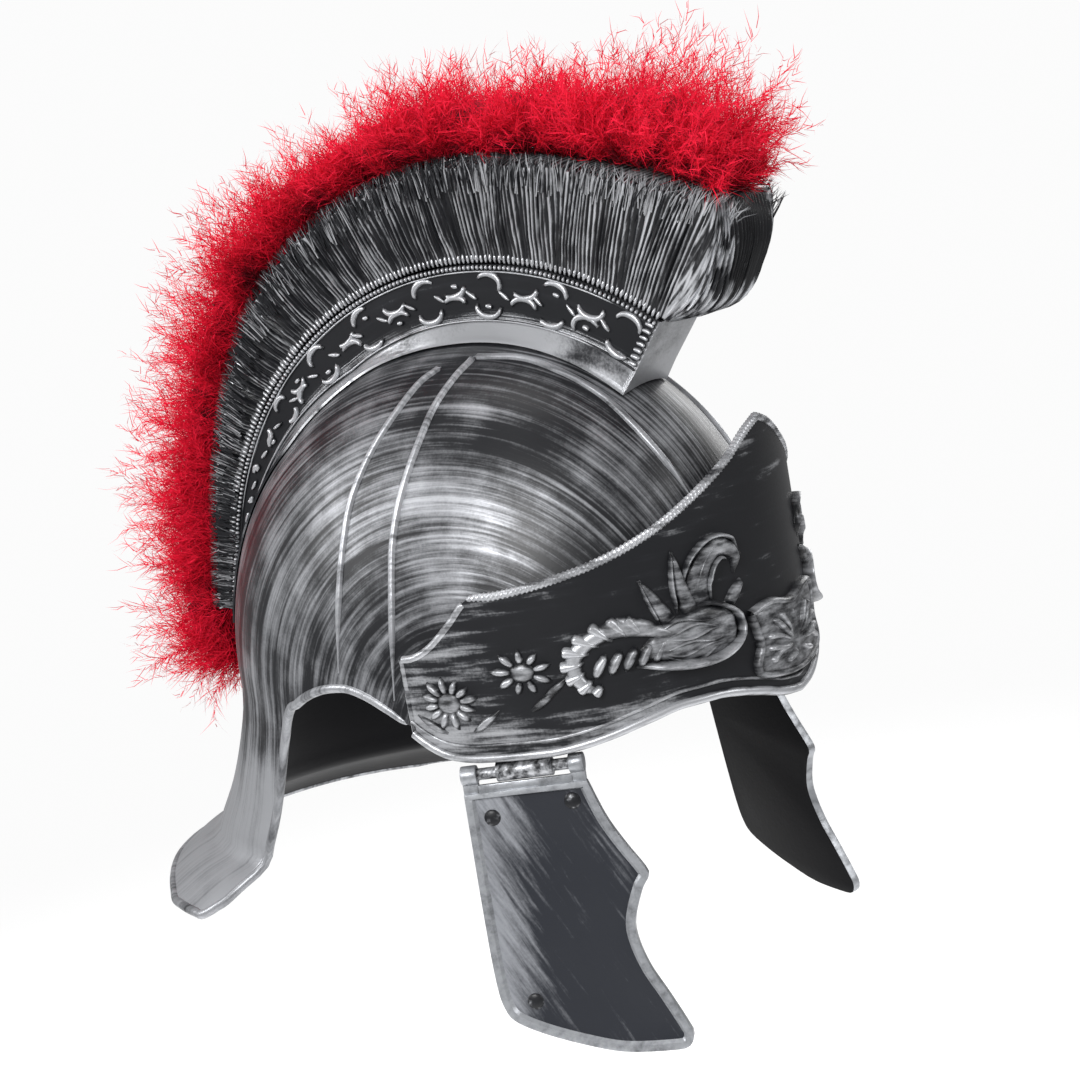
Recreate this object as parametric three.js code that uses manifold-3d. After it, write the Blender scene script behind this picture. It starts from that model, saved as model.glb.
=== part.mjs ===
// Roman legionary costume helmet: a moulded skull with a neck guard, an upswept brow plate,
// hinged cheek guards, and a crest of moulded bristle under a feather plume.
// Millimetres, +Z up, the face looks along -Y and the wearer's left is +X.
// The origin is the middle of the head opening, where the helmet sits on a head.

import * as THREE from 'three';
import { mergeVertices } from 'three/addons/utils/BufferGeometryUtils.js';
import Module from 'manifold-3d';

const wasm = await Module();
wasm.setup();

// Walls and clearances

const WALL = 2.4;          // moulded wall of skull, brow plate and crest
const SEAT = 0.3;          // gap between two pieces that rest on each other
const SINK = 1.0;          // how deep a raised ornament is rooted in its wall

// Skull: an egg that is fuller behind, with a skirt that flares into the neck guard

const SKULL = {
  halfWidth: 94.5, front: 131, back: 143, dome: 142,
  centreY: 28, beltZ: 12,
  fullness: 2, foreheadFullness: 0.3,  // roundness of the dome's curve, and more of it in front
  neckReach: 87,           // from the belt down to the lowest neck line
  neckFlare: 61,           // how far that line stands out behind
  flareFrom: -0.35, flareFull: 0.75,   // where the flare starts and is whole, as cosines
  creaseZ: -58, creaseGap: 12,         // where the neck turns out into its shelf, and above the rim
  hem: 1.3, hemFrom: 86, hemFull: 90,  // raised border along the rim, and the turns it rises over
};

// Lower rim of the skull: turn in degrees from the front, drop as a share of neckReach
const RIM = [
  { turn: 0, drop: 0.069 }, { turn: 26, drop: 0.069 }, { turn: 54, drop: 0.069 },
  { turn: 80, drop: 0.06 }, { turn: 87.5, drop: 0.029 }, { turn: 91, drop: -0.035 },
  { turn: 95, drop: -0.098 }, { turn: 100.5, drop: -0.1375 }, { turn: 107, drop: -0.116 },
  { turn: 113.8, drop: -0.04 }, { turn: 117.8, drop: 0.03 }, { turn: 119.3, drop: 0.115 },
  { turn: 120.6, drop: 0.264 }, { turn: 121.4, drop: 0.467 }, { turn: 121.9, drop: 0.64 },
  { turn: 122.4, drop: 0.79 }, { turn: 123.1, drop: 0.885 }, { turn: 124.8, drop: 0.96 },
  { turn: 128, drop: 1 }, { turn: 133.5, drop: 1 }, { turn: 141, drop: 0.98 },
  { turn: 150, drop: 0.965 }, { turn: 164, drop: 0.962 }, { turn: 180, drop: 0.965 },
];

// Flare of the neck: down as a share of neckReach, behind and side as shares of neckFlare.
// It turns out sharply at the crease, into the shelf of the neck guard.
const FLARE = [
  { down: 0, behind: 0, side: 0 }, { down: 0.1375, behind: 0.04, side: 0.018 },
  { down: 0.251, behind: 0.097, side: 0.044 }, { down: 0.391, behind: 0.18, side: 0.081 },
  { down: 0.54, behind: 0.285, side: 0.128 }, { down: 0.69, behind: 0.424, side: 0.19 },
  { down: 0.8046, behind: 0.553, side: 0.25 }, { down: 0.86, behind: 0.71, side: 0.4 },
  { down: 1, behind: 1, side: 0.7 },
];

// Raised ribs of the skull: turn in degrees, height as a share of the dome above the belt
const RIB = { width: 3.4, height: 1.5 };
const RIB_SIDE_FRONT = [
  { turn: 89, up: 0.05 }, { turn: 87.2, up: 0.29 }, { turn: 86.5, up: 0.49 },
  { turn: 84.4, up: 0.63 }, { turn: 80.7, up: 0.75 }, { turn: 76, up: 0.845 },
  { turn: 68, up: 0.91 }, { turn: 57, up: 0.951 },
];
const RIB_SIDE_BACK = [
  { turn: 100.6, up: 0.13 }, { turn: 99.4, up: 0.345 }, { turn: 99, up: 0.53 },
  { turn: 98.2, up: 0.64 }, { turn: 94.5, up: 0.775 }, { turn: 87, up: 0.894 },
  { turn: 77, up: 0.937 },
];
const RIB_FORE = [
  { turn: 57, up: 0.951 }, { turn: 36.5, up: 0.93 }, { turn: 27.8, up: 0.88 },
  { turn: 22.6, up: 0.803 }, { turn: 20.2, up: 0.69 }, { turn: 18, up: 0.577 },
  { turn: 16.2, up: 0.48 },
];

// Brow plate: wrapped round the front of the skull and swept up to a peak
const BROW = {
  standOff: 2.1, frontGap: 2.6, centreY: 16, peak: 108,
  bead: 1.7, beadWidth: 3.8, beadStep: 0.5, rows: 3,
};
BROW.halfWidth = SKULL.halfWidth + BROW.standOff + WALL;
BROW.reach = BROW.centreY - SKULL.centreY + SKULL.front + BROW.frontGap + WALL;

// Edges of the plate: turn in degrees, heights as shares of the peak
const BROW_EDGE = [
  { turn: 0, top: 1, low: -0.065 }, { turn: 5.8, top: 0.963, low: -0.05 },
  { turn: 14, top: 0.88, low: -0.01 }, { turn: 20.5, top: 0.822, low: 0.019 },
  { turn: 27, top: 0.765, low: 0.034 }, { turn: 34, top: 0.708, low: 0.034 },
  { turn: 42, top: 0.655, low: 0.009 }, { turn: 51, top: 0.611, low: -0.028 },
  { turn: 57, top: 0.59, low: -0.047 }, { turn: 62.7, top: 0.574, low: -0.056 },
  { turn: 68, top: 0.564, low: -0.056 }, { turn: 73.5, top: 0.556, low: -0.056 },
  { turn: 78, top: 0.472, low: -0.053 }, { turn: 83.5, top: 0.385, low: -0.03 },
  { turn: 87, top: 0.356, low: 0.009 }, { turn: 90, top: 0.352, low: 0.056 },
];

// Relief of the plate
const ROSETTE = { radius: 10.5, core: 3.6, height: 2.2, rays: 8, notch: 0.5, slope: 0.94 };
const ROSETTES = [{ turn: 80.5, up: 0.176 }, { turn: 65, up: 0.268 }];
const RELIEF = { height: 3.0 };
// Each line: turn in degrees, up as a share of the peak, half as a half width in shares
// of scrollWidth
const SCROLL_WIDTH = 9;
const TAIL = [
  { turn: 51.5, up: 0.16, half: 0.2 }, { turn: 54.5, up: 0.21, half: 0.42 },
  { turn: 55.6, up: 0.29, half: 0.5 }, { turn: 53, up: 0.37, half: 0.55 },
  { turn: 47.5, up: 0.405, half: 0.62 }, { turn: 41, up: 0.39, half: 0.82 },
  { turn: 34, up: 0.35, half: 1.05 }, { turn: 27, up: 0.31, half: 1.2 },
  { turn: 21.5, up: 0.28, half: 0.9 }, { turn: 19, up: 0.27, half: 0.4 },
];
const BELLY = [
  { turn: 45, up: 0.2, half: 0.15 }, { turn: 38, up: 0.205, half: 0.42 },
  { turn: 30, up: 0.195, half: 0.62 }, { turn: 24, up: 0.19, half: 0.5 },
  { turn: 20, up: 0.2, half: 0.2 },
];
const LEAVES = [
  [{ turn: 33, up: 0.4, half: 0.42 }, { turn: 36.5, up: 0.455, half: 0.34 },
    { turn: 39.5, up: 0.53, half: 0.08 }],
  [{ turn: 28, up: 0.41, half: 0.5 }, { turn: 30, up: 0.5, half: 0.4 },
    { turn: 31, up: 0.6, half: 0.1 }],
  [{ turn: 25, up: 0.38, half: 0.5 }, { turn: 25.5, up: 0.48, half: 0.5 },
    { turn: 23.5, up: 0.57, half: 0.46 }, { turn: 19.5, up: 0.595, half: 0.4 },
    { turn: 16.5, up: 0.555, half: 0.3 }, { turn: 16.5, up: 0.505, half: 0.12 }],
];
const PLAQUE = { turn: 14.5, middle: 0.175, height: 2.6, face: 0.86, centre: 0.4 };
// Outline of the plaque: across as a share of its turn, up as a share of the peak
const PLAQUE_LINE = [
  { across: -1, up: 0.285 }, { across: -0.55, up: 0.308 }, { across: 0, up: 0.285 },
  { across: 0.55, up: 0.308 }, { across: 1, up: 0.285 }, { across: 0.86, up: 0.175 },
  { across: 1, up: 0.095 }, { across: 0.8, up: 0.065 }, { across: 0, up: 0.036 },
  { across: -0.8, up: 0.065 }, { across: -1, up: 0.095 }, { across: -0.86, up: 0.175 },
];
// Bosses inside the plate that keep it off the skull
const BOSS = { radius: 4.5, sides: 8, turns: [0, 46, 86], up: 0.14, step: 0.05, spare: 0.25 };

// Crest: everything on it follows one circle in the middle plane
const CREST = {
  centreY: 16, centreZ: 30, rise: 31, halfTop: 18, halfLow: 17,
  boxHeight: 24, front: -38.8, back: 86, steps: 22, bead: 2, beadEnd: 0.6,
  foot: 40, footEdge: 1,   // widest half width of the foot, and its thin edge
  tailHeight: 6,           // least height of the holder where it runs out behind
};
CREST.radius = SKULL.beltZ + SKULL.dome + CREST.rise - CREST.centreZ;

// Foot of the holder on the skull: angle in degrees, half width as a share of foot
const FOOT_LINE = [
  { angle: -38.8, half: 0.46 }, { angle: 12, half: 0.47 }, { angle: 22, half: 0.56 },
  { angle: 30, half: 0.73 }, { angle: 38, half: 0.88 }, { angle: 46, half: 1 },
  { angle: 86, half: 1 },
];

// Scrolls on the side panels: one C for each step of a loop
const PANEL_SCROLL = {
  radius: 6.6, half: 1.5, height: 1.3, count: 11, from: -32, to: 44, margin: 1,
  sweep: 200, tilt: 70, sway: 40, swayStep: 2.4,  // degrees of arc, its lean and how that varies
};

// Comb of moulded bristle
const COMB = {
  height: 47, half: 29, base: 17.5, pleats: 33, pleatDepth: 1.5, nose: 5.7, crown: 1.2,
};
// Side of the comb: up and out as shares from its foot to its top, pleat as a share of depth
const COMB_SIDE = [
  { up: 0, out: 0, pleat: 0 }, { up: 0.3, out: 0.45, pleat: 1 },
  { up: 0.75, out: 0.85, pleat: 1 }, { up: 1, out: 1, pleat: 0.6 },
];
// Angle in degrees from the top towards the back, height and half width as shares
const COMB_LINE = [
  { angle: -38.8, up: 1.26, half: 0.88 }, { angle: -33, up: 1.14, half: 0.97 },
  { angle: -22, up: 1.02, half: 1 },
  { angle: -5, up: 0.93, half: 1 }, { angle: 12, up: 0.83, half: 1 },
  { angle: 28, up: 0.7, half: 0.97 }, { angle: 42, up: 0.52, half: 0.9 },
  { angle: 55, up: 0.36, half: 0.82 }, { angle: 70, up: 0.26, half: 0.74 },
  { angle: 86, up: 0.2, half: 0.68 },
];

// Rounded front end of the comb: belly ahead of the last pleat, as a share of nose degrees
// for a share of the comb's height, and the steps that close it in
const NOSE_LINE = [
  { up: 0, out: 0.12 }, { up: 0.2, out: 0.82 }, { up: 0.38, out: 1 }, { up: 0.57, out: 0.88 },
  { up: 0.8, out: 0.62 }, { up: 1, out: 0.1 },
];
const NOSE_STEPS = [
  { ahead: 1, narrow: 0.5 }, { ahead: 0.82, narrow: 0.78 }, { ahead: 0.45, narrow: 0.95 },
];

// Plume: angle, outer height above the comb top as a share of plumeHeight, half width
// as a share of plumeHalf
const PLUME = {
  height: 46, half: 33, locks: 20, lockDepth: 0.13, sides: 12, lean: 2,
  allowance: 0.2,                                    // what the comb's straight steps need
  wobble: 0.05, wobbleAlong: 2.3, wobbleRound: 1.7,  // unevenness of the locks
};
const PLUME_LINE = [
  { angle: -40.5, up: 0.14, half: 0.3 }, { angle: -38.5, up: 0.5, half: 0.7 },
  { angle: -35, up: 0.78, half: 0.95 }, { angle: -28, up: 1.02, half: 1 },
  { angle: -18, up: 0.8, half: 0.95 }, { angle: -8, up: 0.8, half: 0.93 },
  { angle: 2, up: 0.96, half: 1 }, { angle: 12, up: 0.88, half: 0.95 },
  { angle: 26, up: 0.98, half: 1 }, { angle: 40, up: 0.98, half: 1 },
  { angle: 54, up: 1, half: 0.98 }, { angle: 68, up: 0.98, half: 0.93 },
  { angle: 80, up: 0.92, half: 0.86 }, { angle: 90, up: 1.04, half: 0.78 },
  { angle: 96, up: 0.8, half: 0.55 }, { angle: 99, up: 0.45, half: 0.25 },
];

// Hinge and cheek guard, in their own axes: a along the hinge to the front, b down the
// guard, n outwards
const HINGE = {
  turnRear: 80.8, length: 50, toeIn: 24, splay: 6, outset: 0.5,
  pin: 2.4, outer: 3.9, sides: 10, running: 0.5,
  endRear: 6.5, windowRear: 8, windowFront: 6.5, endFront: 6,
  leafRise: 13.5, leafThick: 1.6, leafOffset: 1, root: 0.4,
};
const CHEEK = {
  width: 77, length: 119, top: 7.4, wall: 2.2, rim: 1.5, rimWidth: 4,
  rivet: 3.4, rivetHeight: 1.1, rivetSides: 8,
};
// Outline of the guard: along as a share of width, down as a share of length
const CHEEK_LINE = [
  { along: 0.003, down: 0.062 }, { along: 0.003, down: 0.22 }, { along: 0.003, down: 0.4 },
  { along: 0.006, down: 0.6 }, { along: 0.014, down: 0.723 }, { along: 0.03, down: 0.79 },
  { along: 0.077, down: 0.846 }, { along: 0.222, down: 0.9 }, { along: 0.432, down: 0.953 },
  { along: 0.635, down: 0.99 }, { along: 0.874, down: 1 }, { along: 0.965, down: 0.993 },
  { along: 0.996, down: 0.956 }, { along: 0.979, down: 0.918 }, { along: 0.905, down: 0.813 },
  { along: 0.827, down: 0.708 }, { along: 0.786, down: 0.608 }, { along: 0.792, down: 0.54 },
  { along: 0.85, down: 0.446 }, { along: 0.888, down: 0.41 }, { along: 0.882, down: 0.378 },
  { along: 0.8, down: 0.29 }, { along: 0.72, down: 0.19 }, { along: 0.652, down: 0.062 },
];
const CHEEK_RIVETS = [
  { along: 0.13, down: 0.15 }, { along: 0.56, down: 0.125 }, { along: 0.2, down: 0.79 },
];

// Small maths

const rad = THREE.MathUtils.degToRad;

// Value of one column of a table at a place on another, with straight lines between rows
function look(table, key, at, column) {
  const last = table.length - 1;
  if (at <= table[0][key]) return table[0][column];
  if (at >= table[last][key]) return table[last][column];
  const i = table.findIndex((row) => row[key] > at);
  const share = (at - table[i - 1][key]) / (table[i][key] - table[i - 1][key]);
  return THREE.MathUtils.lerp(table[i - 1][column], table[i][column], share);
}

const spread = (from, to, steps) =>
  Array.from({ length: steps + 1 }, (_, i) => from + (to - from) * i / steps);

// Closed solids

// A solid from points and triangles, turned so that its faces point out
function solid(points, triangles) {
  let volume = 0;
  for (const [a, b, c] of triangles) {
    volume += points[a].dot(new THREE.Vector3().crossVectors(points[b], points[c]));
  }
  const geometry = new THREE.BufferGeometry();
  const flat = points.flatMap((p) => [p.x, p.y, p.z]);
  geometry.setAttribute('position', new THREE.Float32BufferAttribute(flat, 3));
  geometry.setIndex(triangles.flatMap(([a, b, c]) => (volume < 0 ? [a, c, b] : [a, b, c])));
  return weld(geometry);
}

// The manifold solid of a closed three.js geometry
function weld(geometry) {
  const bare = geometry.clone();
  bare.deleteAttribute('normal');
  bare.deleteAttribute('uv');
  const merged = mergeVertices(bare, 1e-3);
  const index = merged.index.array;
  const kept = [];
  for (let i = 0; i < index.length; i += 3) {
    const [a, b, c] = [index[i], index[i + 1], index[i + 2]];
    if (a !== b && b !== c && c !== a) kept.push(a, b, c);
  }
  return new wasm.Manifold(new wasm.Mesh({
    numProp: 3,
    vertProperties: new Float32Array(merged.attributes.position.array),
    triVerts: new Uint32Array(kept),
  }));
}

const fuse = (parts) => parts.reduce((whole, part) => whole.add(part));

// A wall between two grids of points with the same rows and columns
function wallBetween(outer, inner, ring) {
  const rows = outer.length;
  const columns = outer[0].length;
  const points = [...outer.flat(), ...inner.flat()];
  const shift = rows * columns;
  const triangles = [];
  const quad = (a, b, c, d) => triangles.push([a, b, c], [a, c, d]);
  const spans = ring ? columns : columns - 1;
  for (let i = 0; i < rows - 1; i++) {
    for (let j = 0; j < spans; j++) {
      const k = (j + 1) % columns;
      const [a, b, c, d] = [i * columns + j, i * columns + k,
        (i + 1) * columns + k, (i + 1) * columns + j];
      quad(a, b, c, d);
      quad(d + shift, c + shift, b + shift, a + shift);
    }
  }
  for (let j = 0; j < spans; j++) {
    const k = (j + 1) % columns;
    const low = (rows - 1) * columns;
    quad(low + j, low + k, low + k + shift, low + j + shift);
    quad(j + shift, k + shift, k, j);
  }
  if (!ring) {
    for (let i = 0; i < rows - 1; i++) {
      const [a, d] = [i * columns, (i + 1) * columns];
      quad(a, d, d + shift, a + shift);
      quad(a + columns - 1 + shift, d + columns - 1 + shift, d + columns - 1, a + columns - 1);
    }
  }
  return solid(points, triangles);
}

// Triangles that fill a ring of points, each wound the way the ring is
function fillRing(ring) {
  const normal = new THREE.Vector3();
  ring.forEach((p, i) => normal.add(p.clone().cross(ring[(i + 1) % ring.length])));
  const across = ring[1].clone().sub(ring[0]).normalize();
  const up = normal.clone().normalize().cross(across);
  const flat = ring.map((p) => new THREE.Vector2(p.dot(across), p.dot(up)));
  return THREE.ShapeUtils.triangulateShape(flat, []).map(([a, b, c]) => {
    const turn = flat[b].clone().sub(flat[a]).cross(flat[c].clone().sub(flat[a]));
    return turn > 0 ? [a, b, c] : [a, c, b];
  });
}

// A loft through rings of the same count, closed at both ends
function loft(rings) {
  const count = rings[0].length;
  const triangles = [];
  for (let i = 0; i < rings.length - 1; i++) {
    for (let j = 0; j < count; j++) {
      const k = (j + 1) % count;
      const [a, b, c, d] = [i * count + j, i * count + k, (i + 1) * count + k, (i + 1) * count + j];
      triangles.push([a, b, c], [a, c, d]);
    }
  }
  const last = (rings.length - 1) * count;
  fillRing(rings[0]).forEach(([a, b, c]) => triangles.push([a, c, b]));
  fillRing(rings[rings.length - 1]).forEach(([a, b, c]) =>
    triangles.push([last + a, last + b, last + c]));
  return solid(rings.flat(), triangles);
}

// A raised band on a surface: place(row, side, height) gives a point, side from -1 to 1
// across the band and height off the surface
function band(line, place, height) {
  const shape = [[-1, -SINK], [1, -SINK], [0.45, height], [-0.45, height]];
  return loft(line.map((row) => shape.map(([side, up]) => place(row, side, up))));
}

// Skull

// Roundness of the dome's curve where it faces by a cosine from the front
const domeFullness = (cos) => SKULL.fullness + SKULL.foreheadFullness * Math.max(0, cos) ** 2;

// Outer surface of the skull at a turn from the front and a height
function skullPoint(turn, z) {
  const cos = Math.cos(rad(turn));
  const sin = Math.sin(rad(turn));
  const fullness = domeFullness(cos);
  const up = THREE.MathUtils.clamp((z - SKULL.beltZ) / SKULL.dome, 0, 1);
  const round = (1 - up ** fullness) ** (1 / fullness);
  const flare = SKULL.neckFlare * THREE.MathUtils.smoothstep(-cos, SKULL.flareFrom, SKULL.flareFull);
  const down = (SKULL.beltZ - z) / SKULL.neckReach;
  const reach = cos > 0 ? SKULL.front : SKULL.back;
  return new THREE.Vector3(
    sin * (SKULL.halfWidth * round + flare * look(FLARE, 'down', down, 'side')),
    SKULL.centreY - cos * (reach * round + flare * look(FLARE, 'down', down, 'behind')),
    z,
  );
}

// Outward normal of that surface
function skullNormal(turn, z) {
  const here = skullPoint(turn, z);
  const aside = skullPoint(turn + 0.5, z).sub(here);
  const below = skullPoint(turn, z - 0.5).sub(here);
  return aside.cross(below).normalize().negate();
}

const rimHeight = (turn) =>
  SKULL.beltZ - SKULL.neckReach * look(RIM, 'turn', Math.abs(turn), 'drop');

// Height at which the neck turns out, or near the rim where there is no shelf
const creaseHeight = (turn) => Math.max(SKULL.creaseZ, rimHeight(turn) + SKULL.creaseGap);

// Height at a share of the way from the crown to the crease, even along the curve
function domeHeight(turn, share) {
  const quarter = Math.PI / 2;
  const rise = (creaseHeight(turn) - SKULL.beltZ) / SKULL.dome;
  const angle = (rise > 0 ? Math.acos(rise) : quarter - rise) * share;
  return SKULL.beltZ + SKULL.dome * (angle < quarter ? Math.cos(angle) : quarter - angle);
}

// Height at a share of the way from the crease to the rim
const shelfHeight = (turn, share) =>
  THREE.MathUtils.lerp(creaseHeight(turn), rimHeight(turn), share);

// True where a point lies inside the outer surface of the dome
function insideDome(x, y, z) {
  const ahead = y < SKULL.centreY ? SKULL.front : SKULL.back;
  const across = Math.hypot(x / SKULL.halfWidth, (y - SKULL.centreY) / ahead);
  const cos = across > 0 ? (SKULL.centreY - y) / ahead / across : 0;
  const fullness = domeFullness(cos);
  const up = THREE.MathUtils.clamp((z - SKULL.beltZ) / SKULL.dome, 0, 1);
  return across ** fullness + up ** fullness < 1;
}

// Rows of the skull's grid, as shares of the dome, of the shelf and of its raised hem
const DOME_ROWS = spread(0, 1, 8);
const SHELF_ROWS = [0.45];
const HEM_ROWS = [0.85, 1];

function skullShell() {
  const half = RIM.map((row) => row.turn).filter((turn) => turn > 0 && turn < 180);
  const turns = [0, ...half, 180, ...half.map((turn) => -turn).reverse()];
  const off = (turn, z, height) =>
    skullPoint(turn, z).addScaledVector(skullNormal(turn, z), height);
  const crown = (height) => new THREE.Vector3(0, SKULL.centreY, SKULL.beltZ + SKULL.dome + height);
  const hem = (turn) =>
    SKULL.hem * THREE.MathUtils.smoothstep(Math.abs(turn), SKULL.hemFrom, SKULL.hemFull);
  const grid = (height, hemHeight) => [
    ...DOME_ROWS.map((share) => turns.map((turn) =>
      (share === 0 ? crown(height) : off(turn, domeHeight(turn, share), height)))),
    ...SHELF_ROWS.map((share) => turns.map((turn) => off(turn, shelfHeight(turn, share), height))),
    ...HEM_ROWS.map((share) => turns.map((turn) =>
      off(turn, shelfHeight(turn, share), hemHeight(turn)))),
  ];
  return wallBetween(grid(0, hem), grid(-WALL, () => -WALL), true);
}

// A rib along a table of turns and heights
function rib(table, side) {
  const place = (row, across, height) => {
    const i = table.indexOf(row);
    const at = (k) => {
      const entry = table[THREE.MathUtils.clamp(k, 0, table.length - 1)];
      return skullPoint(side * entry.turn, SKULL.beltZ + SKULL.dome * entry.up);
    };
    const along = at(i + 1).sub(at(i - 1)).normalize();
    const normal = skullNormal(side * row.turn, SKULL.beltZ + SKULL.dome * row.up);
    const sideways = along.cross(normal).normalize();
    return at(i).addScaledVector(sideways, across * RIB.width / 2).addScaledVector(normal, height);
  };
  return band(table, place, RIB.height);
}

function skull() {
  const ribs = [-1, 1].flatMap((side) =>
    [RIB_SIDE_FRONT, RIB_SIDE_BACK, RIB_FORE].map((table) => rib(table, side)));
  return fuse([skullShell(), ...ribs]);
}

// Brow plate

// Outer surface of the plate, off it by a height
function browPoint(turn, z, height = 0) {
  return new THREE.Vector3(
    (BROW.halfWidth + height) * Math.sin(rad(turn)),
    BROW.centreY - (BROW.reach + height) * Math.cos(rad(turn)),
    z,
  );
}

function browShell() {
  const half = BROW_EDGE.map((row) => row.turn).filter((turn) => turn > 0);
  const turns = [...half.map((turn) => -turn).reverse(), 0, ...half];
  const levels = turns.map((turn) => {
    const top = BROW.peak * look(BROW_EDGE, 'turn', Math.abs(turn), 'top');
    const low = BROW.peak * look(BROW_EDGE, 'turn', Math.abs(turn), 'low');
    const field = spread(low + BROW.beadWidth, top - BROW.beadWidth, BROW.rows);
    return [[low, 1], [low + BROW.beadWidth - BROW.beadStep, 1], ...field.map((z) => [z, 0]),
      [top - BROW.beadWidth + BROW.beadStep, 1], [top, 1]];
  });
  const rows = levels[0].map((_, i) => i);
  const outer = rows.map((i) => turns.map((turn, j) =>
    browPoint(turn, levels[j][i][0], levels[j][i][1] * BROW.bead)));
  const inner = rows.map((i) => turns.map((turn, j) => browPoint(turn, levels[j][i][0], -WALL)));
  return wallBetween(outer, inner, false);
}

// Place of a relief line on the plate, for band()
function browPlace(line, side) {
  const middle = (k) => {
    const row = line[THREE.MathUtils.clamp(k, 0, line.length - 1)];
    return new THREE.Vector2(rad(side * row.turn) * BROW.reach, row.up * BROW.peak);
  };
  return (row, across, height) => {
    const i = line.indexOf(row);
    const along = middle(i + 1).sub(middle(i - 1)).normalize();
    const flat = middle(i);
    flat.x += -along.y * across * row.half * SCROLL_WIDTH;
    flat.y += along.x * across * row.half * SCROLL_WIDTH;
    return browPoint(THREE.MathUtils.radToDeg(flat.x / BROW.reach), flat.y, height);
  };
}

function rosette(spot, side) {
  const ring = (radius, height, notch) =>
    Array.from({ length: 2 * ROSETTE.rays }, (_, i) => {
      const angle = Math.PI * i / ROSETTE.rays;
      const reach = radius * (i % 2 ? notch : 1);
      const arc = THREE.MathUtils.radToDeg(reach * Math.cos(angle) / BROW.halfWidth);
      return browPoint(side * spot.turn + arc, spot.up * BROW.peak + reach * Math.sin(angle), height);
    });
  return loft([
    ring(ROSETTE.radius, -SINK, ROSETTE.notch),
    ring(ROSETTE.radius * ROSETTE.slope, ROSETTE.height * 0.4, ROSETTE.notch),
    ring(ROSETTE.core, ROSETTE.height, 0.9),
  ]);
}

// The plaque in the middle of the plate: a raised shield with a narrower foot
function plaque() {
  const ring = (scale, height) => PLAQUE_LINE.map(({ across, up }) => browPoint(
    across * scale * PLAQUE.turn,
    BROW.peak * (PLAQUE.middle + (up - PLAQUE.middle) * scale),
    height,
  ));
  return loft([ring(1, -SINK), ring(1, PLAQUE.height * 0.7), ring(PLAQUE.face, PLAQUE.height),
    ring(PLAQUE.centre, PLAQUE.height * 1.25)]);
}

// Inside bosses that stand the plate off the skull and end a seat short of it
function boss(turn) {
  const z = BROW.peak * BOSS.up;
  const start = browPoint(turn, z, -WALL / 2);
  const inward = browPoint(turn, z, -WALL).sub(browPoint(turn, z)).normalize();
  const end = start.clone();
  while (!insideDome(end.x, end.y, end.z - BOSS.radius)) end.addScaledVector(inward, BOSS.step);
  end.addScaledVector(inward, -SEAT - BOSS.spare);
  const up = new THREE.Vector3(0, 0, 1);
  const across = up.clone().cross(inward);
  const ring = (centre) => Array.from({ length: BOSS.sides }, (_, i) => {
    const angle = 2 * Math.PI * i / BOSS.sides;
    return centre.clone().addScaledVector(across, BOSS.radius * Math.cos(angle))
      .addScaledVector(up, BOSS.radius * Math.sin(angle));
  });
  return loft([ring(start), ring(end)]);
}

function browPlate() {
  const sides = [-1, 1];
  const relief = sides.flatMap((side) => [
    ...ROSETTES.map((spot) => rosette(spot, side)),
    ...[TAIL, BELLY, ...LEAVES].map((line) => band(line, browPlace(line, side), RELIEF.height)),
  ]);
  const bosses = BOSS.turns.flatMap((turn) => (turn ? [boss(-turn), boss(turn)] : [boss(0)]));
  return fuse([browShell(), ...relief, plaque(), ...bosses]);
}

// Crest

// A point at an angle from the top towards the back, a radius and a side
const crestPoint = (angle, radius, x) => new THREE.Vector3(
  x,
  CREST.centreY + radius * Math.sin(rad(angle)),
  CREST.centreZ + radius * Math.cos(rad(angle)),
);

// Radius at which the skull ends below the crest, for a side distance
function skullRadius(angle, x) {
  let [low, high] = [CREST.radius / 2, CREST.radius * 1.2];
  for (let i = 0; i < 30; i++) {
    const middle = (low + high) / 2;
    const p = crestPoint(angle, middle, x);
    if (insideDome(p.x, p.y, p.z)) low = middle;
    else high = middle;
  }
  return low;
}

// Radius of the holder's underside: the skull with a seat and what its straight steps need
const STEP_ALLOWANCE = 0.6;
const underside = (angle, x) => skullRadius(angle, x) + SEAT + STEP_ALLOWANCE;

// Radius of the holder's top: one circle, lifted where the skull comes close behind
const boxTop = (angle) => Math.max(CREST.radius, underside(angle, 0) + CREST.tailHeight);

// Radius of the lower edge of the side panels
const panelLow = (angle) =>
  Math.max(boxTop(angle) - CREST.boxHeight, underside(angle, CREST.halfLow) + 2 * CREST.footEdge);

// The holder: an arched box whose foot spreads onto the skull
function crestBox() {
  const section = (angle) => {
    const top = boxTop(angle);
    const wide = CREST.foot * look(FOOT_LINE, 'angle', angle, 'half');
    const low = panelLow(angle);
    const sole = [1 / 3, 2 / 3, 1].map((share) => [wide * share, underside(angle, wide * share)]);
    const side = [...sole, [wide, underside(angle, wide) + CREST.footEdge],
      [CREST.halfLow, low], [CREST.halfTop, top]];
    return [crestPoint(angle, underside(angle, 0), 0),
      ...side.map(([x, radius]) => crestPoint(angle, radius, x)),
      ...side.reverse().map(([x, radius]) => crestPoint(angle, radius, -x))];
  };
  const holder = loft(spread(CREST.front, CREST.back, CREST.steps).map(section));
  return fuse([holder, ...crestScrolls(), ...crestBeads()]);
}

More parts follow.
